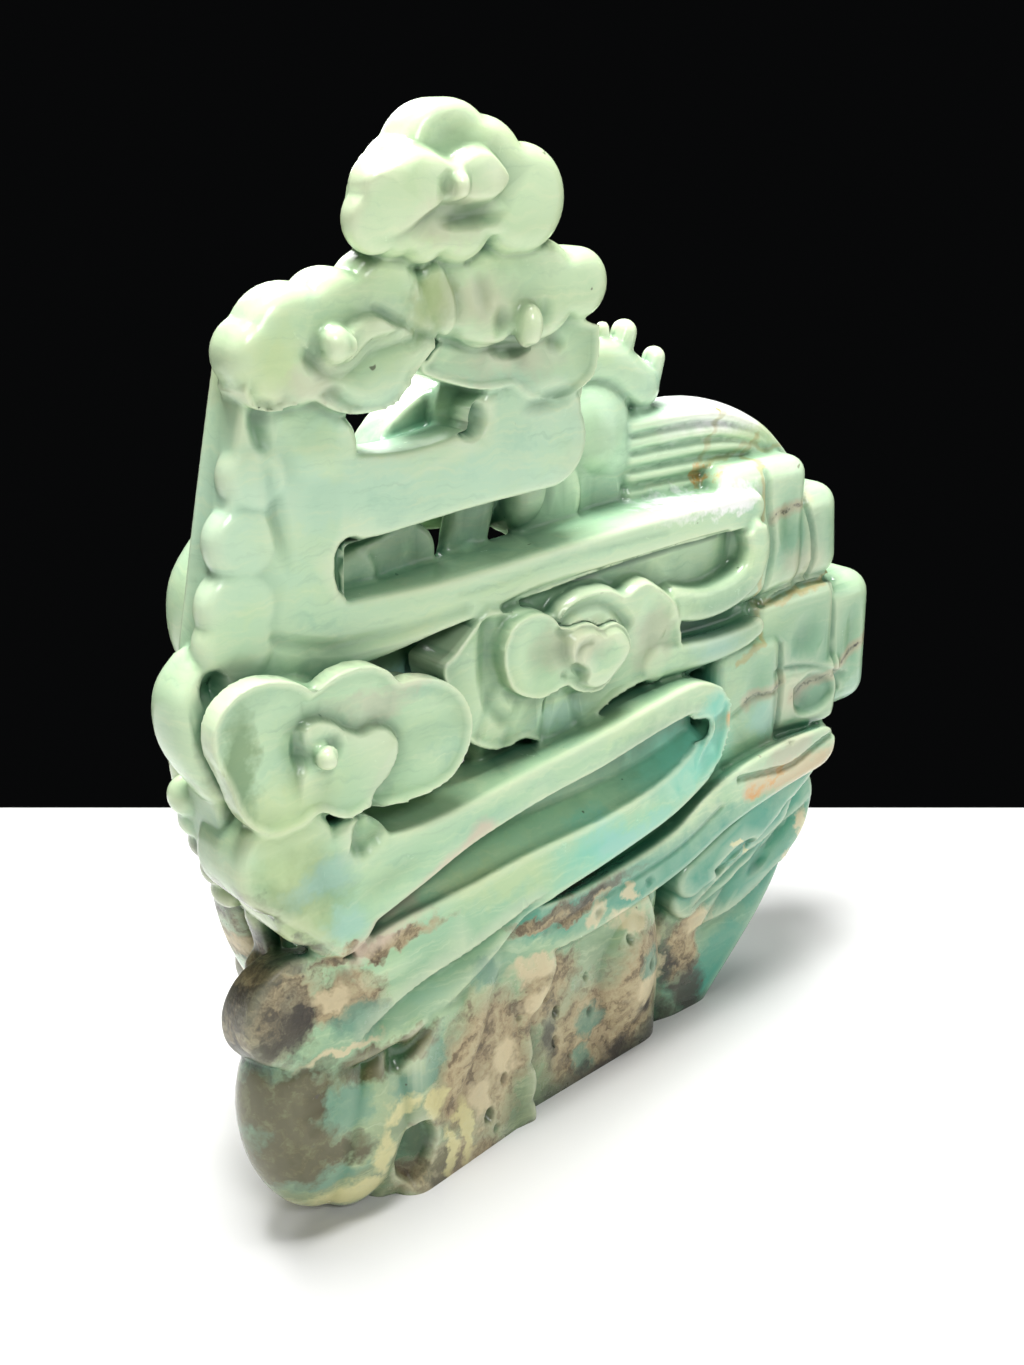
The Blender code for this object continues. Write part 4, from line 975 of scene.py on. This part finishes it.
rock = broken(patches([(-17, 16, 13, 15), (-3, 22, 10, 9), (13, 9, 21, 13), (22, 18, 11, 8), (-55, 40, 11, 9),
    (-43, 38.5, 9, 4.6), (-36, 44.6, 15, 2.2), (36, 14, 5, 10), (-24, 1, 12, 6), (0, 37.4, 14, 2.2)], 2.2))
colour = laid(colour, tone(150, 130, 94), 0.96 * rock)
colour = laid(colour, tone(212, 194, 152), rock * (2.5 - mottle * 4.4).held() * 0.6)
colour = laid(colour, tone(78, 62, 40), rock * (mottle * 6.0 - 3.1).held() * 0.85)
colour = laid(colour, tone(88, 140, 118), 0.8 * broken(patches([(-54.8, 31.6, 3.4, 2.6), (-41, 34.8, 6, 4.2),
    (9.4, 11, 4.6, 4.4), (22, 17.4, 4.4, 4.2), (8, 3.4, 3.2, 3.6), (-17.4, 31.4, 5, 3.8), (-56.4, 17, 3, 8),
    (-48, 9.6, 9, 3), (-30.6, 21, 5, 3.4), (-26.8, 25, 3, 4), (-44, 20.6, 7, 5)], 2)))
olive = broken(patches([(-52, 25, 10, 7.4), (-51, 18, 8, 7), (-46.6, 14.2, 8, 3.6), (-39, 25.8, 8, 4),
    (-30.6, 27.2, 6, 2.8), (-27.6, 1, 3.4, 6), (-31, 9, 3.4, 5), (-52, 13, 6, 6)],
    2.2) * (1 - 0.8 * patches([(-44, 20.6, 5, 3.6)], 1.6)))
colour = laid(colour, tone(66, 56, 12), 0.97 * olive)
colour = laid(colour, tone(124, 112, 52), olive * (2.3 - mottle * 4.4).held() * 0.35)
for tint, cover, crisp, spots in (
    ((36, 29, 20), 0.93, 1.6, [(-51.5, 46.6, 6, 4), (-51, 37, 4.4, 7), (-54.8, 35, 5, 6), (-57, 42, 5, 6),
        (-0.6, 11.4, 3, 9), (15, -3, 26, 7), (27, -1, 9, 8), (32, 13, 2.6, 9), (37, 4, 6, 9),
        (-10, -4, 10, 4.4), (-56, 54, 4, 7), (6, 38.6, 14, 1.8), (24, 10, 4, 5), (16.5, 1, 8, 6)]),
    ((216, 200, 160), 0.85, 2, [(-5.2, 28.8, 7, 3), (7.5, 33.8, 2.8, 2.6), (12.1, 29.4, 3.6, 2.8),
        (15.3, 34.7, 2.2, 2.2), (18, 26.4, 6, 2.6), (23, 30.4, 5, 2.6), (39, 18.5, 5, 3.6),
        (61.6, 21.3, 2, 5), (66, 27, 2, 5.6), (-12.3, 14.6, 3.4, 5.4), (-17.8, 9.4, 3.4, 4.4),
        (-5.1, 22.2, 4.4, 3.4), (22.4, 12.6, 6, 3.4), (29.3, 13, 2.8, 7), (-44.6, 39.4, 5, 2),
        (-43, 30.2, 8, 1.4)]),
    ((214, 206, 146), 0.85, 2, [(-43, 3.6, 9, 4), (-37.8, 10.8, 2.8, 6), (-33.6, 17.2, 5.4, 2.8),
        (-26.8, 14.8, 3, 4), (-25.4, 3.8, 1.8, 6), (-21.6, 6, 1.6, 7), (49, 30, 1.8, 1.4), (44, 33, 2, 1.2)]),
):
    colour = laid(colour, tone(*tint), cover * broken(patches(spots, crisp)))
colour = laid(colour, tone(206, 186, 166), 0.8 * seam([(-40, 45), (-33, 47.6), (-25, 52), (-17, 56.6)], 2.6))
colour = laid(
    colour, tone(204, 172, 134), 0.8 * broken(seam([(44.6, 43.8), (55.7, 44.1), (71.2, 42.6)], 3.6, 1.6)))
for tint, cover, crisp, spots in (
    ((164, 156, 136), 0.7, 2, [(55.4, 48.2, 9, 3.2)]),
    ((160, 190, 150), 0.6, 1.6, [(13, 106, 12, 9)]),
):
    colour = laid(colour, tone(*tint), cover * patches(spots, crisp))
colour = laid(colour, tone(210, 142, 54), 0.9 * broken(patches([(71.4, 43, 4, 2), (44.4, 43.8, 4, 1.8),
    (38.4, 58.4, 2, 3.4), (52, 44.6, 5, 1.2)], 1.6)))
colour = laid(
    colour, tone(176, 158, 92),
    0.65 * seam([(53.5, 102.2), (48.4, 98.4), (48, 86.5), (49.5, 75.6), (50.2, 68.2), (43, 66)], 0.75)
    | 0.9 * seam([(50.4, 74.5), (60.9, 75.1), (71, 76.3), (78, 76)], 0.8)
    | 0.5 * seam([(44.2, 107.9), (39, 98.7), (50, 101), (60, 100)], 0.7))
colour = laid(colour, tone(212, 140, 40), patches([(39, 98.7, 1.5, 1.6), (44.2, 107.9, 1.2, 0.9)], 1.8))
dendrites = [[(51.7, 89.8), (62.3, 91.5)], [(45.5, 58.2), (55.9, 59.4)], [(73.7, 58.5), (84, 63.6)],
    [(58.7, 55.6), (72.4, 57.6)]]
for line in dendrites:
    colour = laid(colour, tone(176, 160, 132), 0.7 * seam(line, 1.7))
    colour = laid(colour, tone(60, 56, 52), (mottle * 5.0 - 2.0).held() * seam(line, 0.5))
speck_reach = Layer.node("TexVoronoi", {}, {"Vector": trembling, "Scale": 0.19})
speck_colour = Layer.node("TexVoronoi", {}, {"Vector": trembling, "Scale": 0.19}, 1)
speck_chance = Layer.node("SeparateColor", {}, {0: speck_colour})
specks = (2.6 - speck_reach * 34).held() * (speck_chance * 9 - 5.6).held()
colour = laid(colour, tone(66, 60, 50), 0.8 * specks)

# Painted highlight: thin convex edges are lightened towards pale cream, less on the rock.
colour = laid(colour, tone(236, 240, 206), 0.6 * edge * (1.0 - 0.6 * rock))
# Painted shade: broad hollows are darkened to deep green, except on the rock.
colour = laid(colour, tone(44, 116, 88), 0.5 * hollow * (1.0 - rock))
# Painted shade: the stone at the back of the slots is darkened to deep green.
colour = laid(
    colour, tone(60, 146, 116), 0.85 * patches([(-17, 104, 11, 10), (-20, 92, 18, 7)], 1.8, (-1, 8)))
colour = laid(colour, tone(16, 96, 74), 0.85 * (shade * 1.5 - 0.2).held() * (1.0 - 0.6 * rock))
# Painted shade: creases are darkened, except on the rock.
colour = laid(colour, tone(70, 104, 72), 0.6 * crease * (1.0 - rock))
colour = laid(colour, tone(158, 206, 206), 0.8 * patches([(-14, 77, 10, 7)], 2.0, (-3, 6)))
# Painted shade on the rock: its creases and its shut-in places are darkened to dark brown.
colour = laid(colour, tone(52, 44, 36), rock * (0.75 * crease | 0.6 * shade))
stone.node_tree.links.new(colour.socket, shader.inputs["Base Color"])

gloss = 0.16 + 0.16 * mottle + 0.22 * rock
stone.node_tree.links.new(gloss.socket, shader.inputs["Roughness"])
relief = Layer.node("Bump", {}, {"Strength": 0.06 + 0.34 * rock, "Distance": 0.0004,
    "Height": fine + grain(spot, 0.3, 2)})
stone.node_tree.links.new(relief.socket, shader.inputs["Normal"])
shader.inputs["IOR"].default_value = 1.56
shader.inputs["Specular IOR Level"].default_value = 0.4
shader.inputs["Coat Weight"].default_value = 0.12
shader.inputs["Coat Roughness"].default_value = 0.09
finished.materials.clear()
finished.materials.append(stone)


# The plain pale floor, which ends behind the carving, the soft studio lights, one of them broad and
# overhead, and the camera at the height, distance and angle of the photo.
CAMERA_PLACE = (-0.1397, -0.1725, 0.152)
CAMERA_PITCH = 20.5
CAMERA_HEADING = -40.0
FLOOR_WIDE = 1.2
FLOOR_BACK = 0.1
LIGHTS_AIM = (0, 0, 0.075)

ground = bmesh.new()
floor_turn = Matrix.Rotation(math.radians(CAMERA_HEADING), 4, "Z")
floor_place = floor_turn @ Matrix.Translation((0, FLOOR_BACK - FLOOR_WIDE, 0))
bmesh.ops.create_grid(ground, x_segments=1, y_segments=1, size=FLOOR_WIDE, matrix=floor_place)
floor_mesh = bpy.data.meshes.new("floor")
ground.to_mesh(floor_mesh)
ground.free()
floor = bpy.data.objects.new("floor", floor_mesh)
bpy.context.scene.collection.objects.link(floor)
pale = bpy.data.materials.new("pale_floor")
pale.use_nodes = True
pale.node_tree.nodes["Principled BSDF"].inputs["Base Color"].default_value = (0.68, 0.68, 0.67, 1)
pale.node_tree.nodes["Principled BSDF"].inputs["Roughness"].default_value = 0.6
floor_mesh.materials.append(pale)


def softbox(name, place, size, power):
    """A square soft light that points at the carving."""
    light = bpy.data.lights.new(name, "AREA")
    light.size = size
    light.energy = power
    lamp = bpy.data.objects.new(name, light)
    lamp.location = place
    lamp.rotation_euler = (Vector(LIGHTS_AIM) - Vector(place)).to_track_quat("-Z", "Y").to_euler()
    bpy.context.scene.collection.objects.link(lamp)


softbox("key_light", (-0.22, -0.68, 0.64), 0.27, 3.2)
softbox("fill_light", (0.45, -0.4, 0.2), 0.3, 0.45)
softbox("top_light", (-0.04, 0.02, 0.9), 0.36, 14.8)
softbox("back_light", (0.12, 0.42, 0.36), 0.25, 1.6)

bpy.context.scene.view_settings.view_transform = "Standard"
world = bpy.context.scene.world or bpy.data.worlds.new("studio")
bpy.context.scene.world = world
world.use_nodes = True
world.node_tree.nodes["Background"].inputs["Color"].default_value = (0.8, 0.85, 0.9, 1)
world.node_tree.nodes["Background"].inputs["Strength"].default_value = 0.003

lens = bpy.data.cameras.new("camera")
lens.lens = 39.56
lens.sensor_width = 36
camera = bpy.data.objects.new("camera", lens)
camera.location = CAMERA_PLACE
camera.rotation_euler = (math.radians(90 - CAMERA_PITCH), 0, math.radians(CAMERA_HEADING))
bpy.context.scene.collection.objects.link(camera)
bpy.context.scene.camera = camera
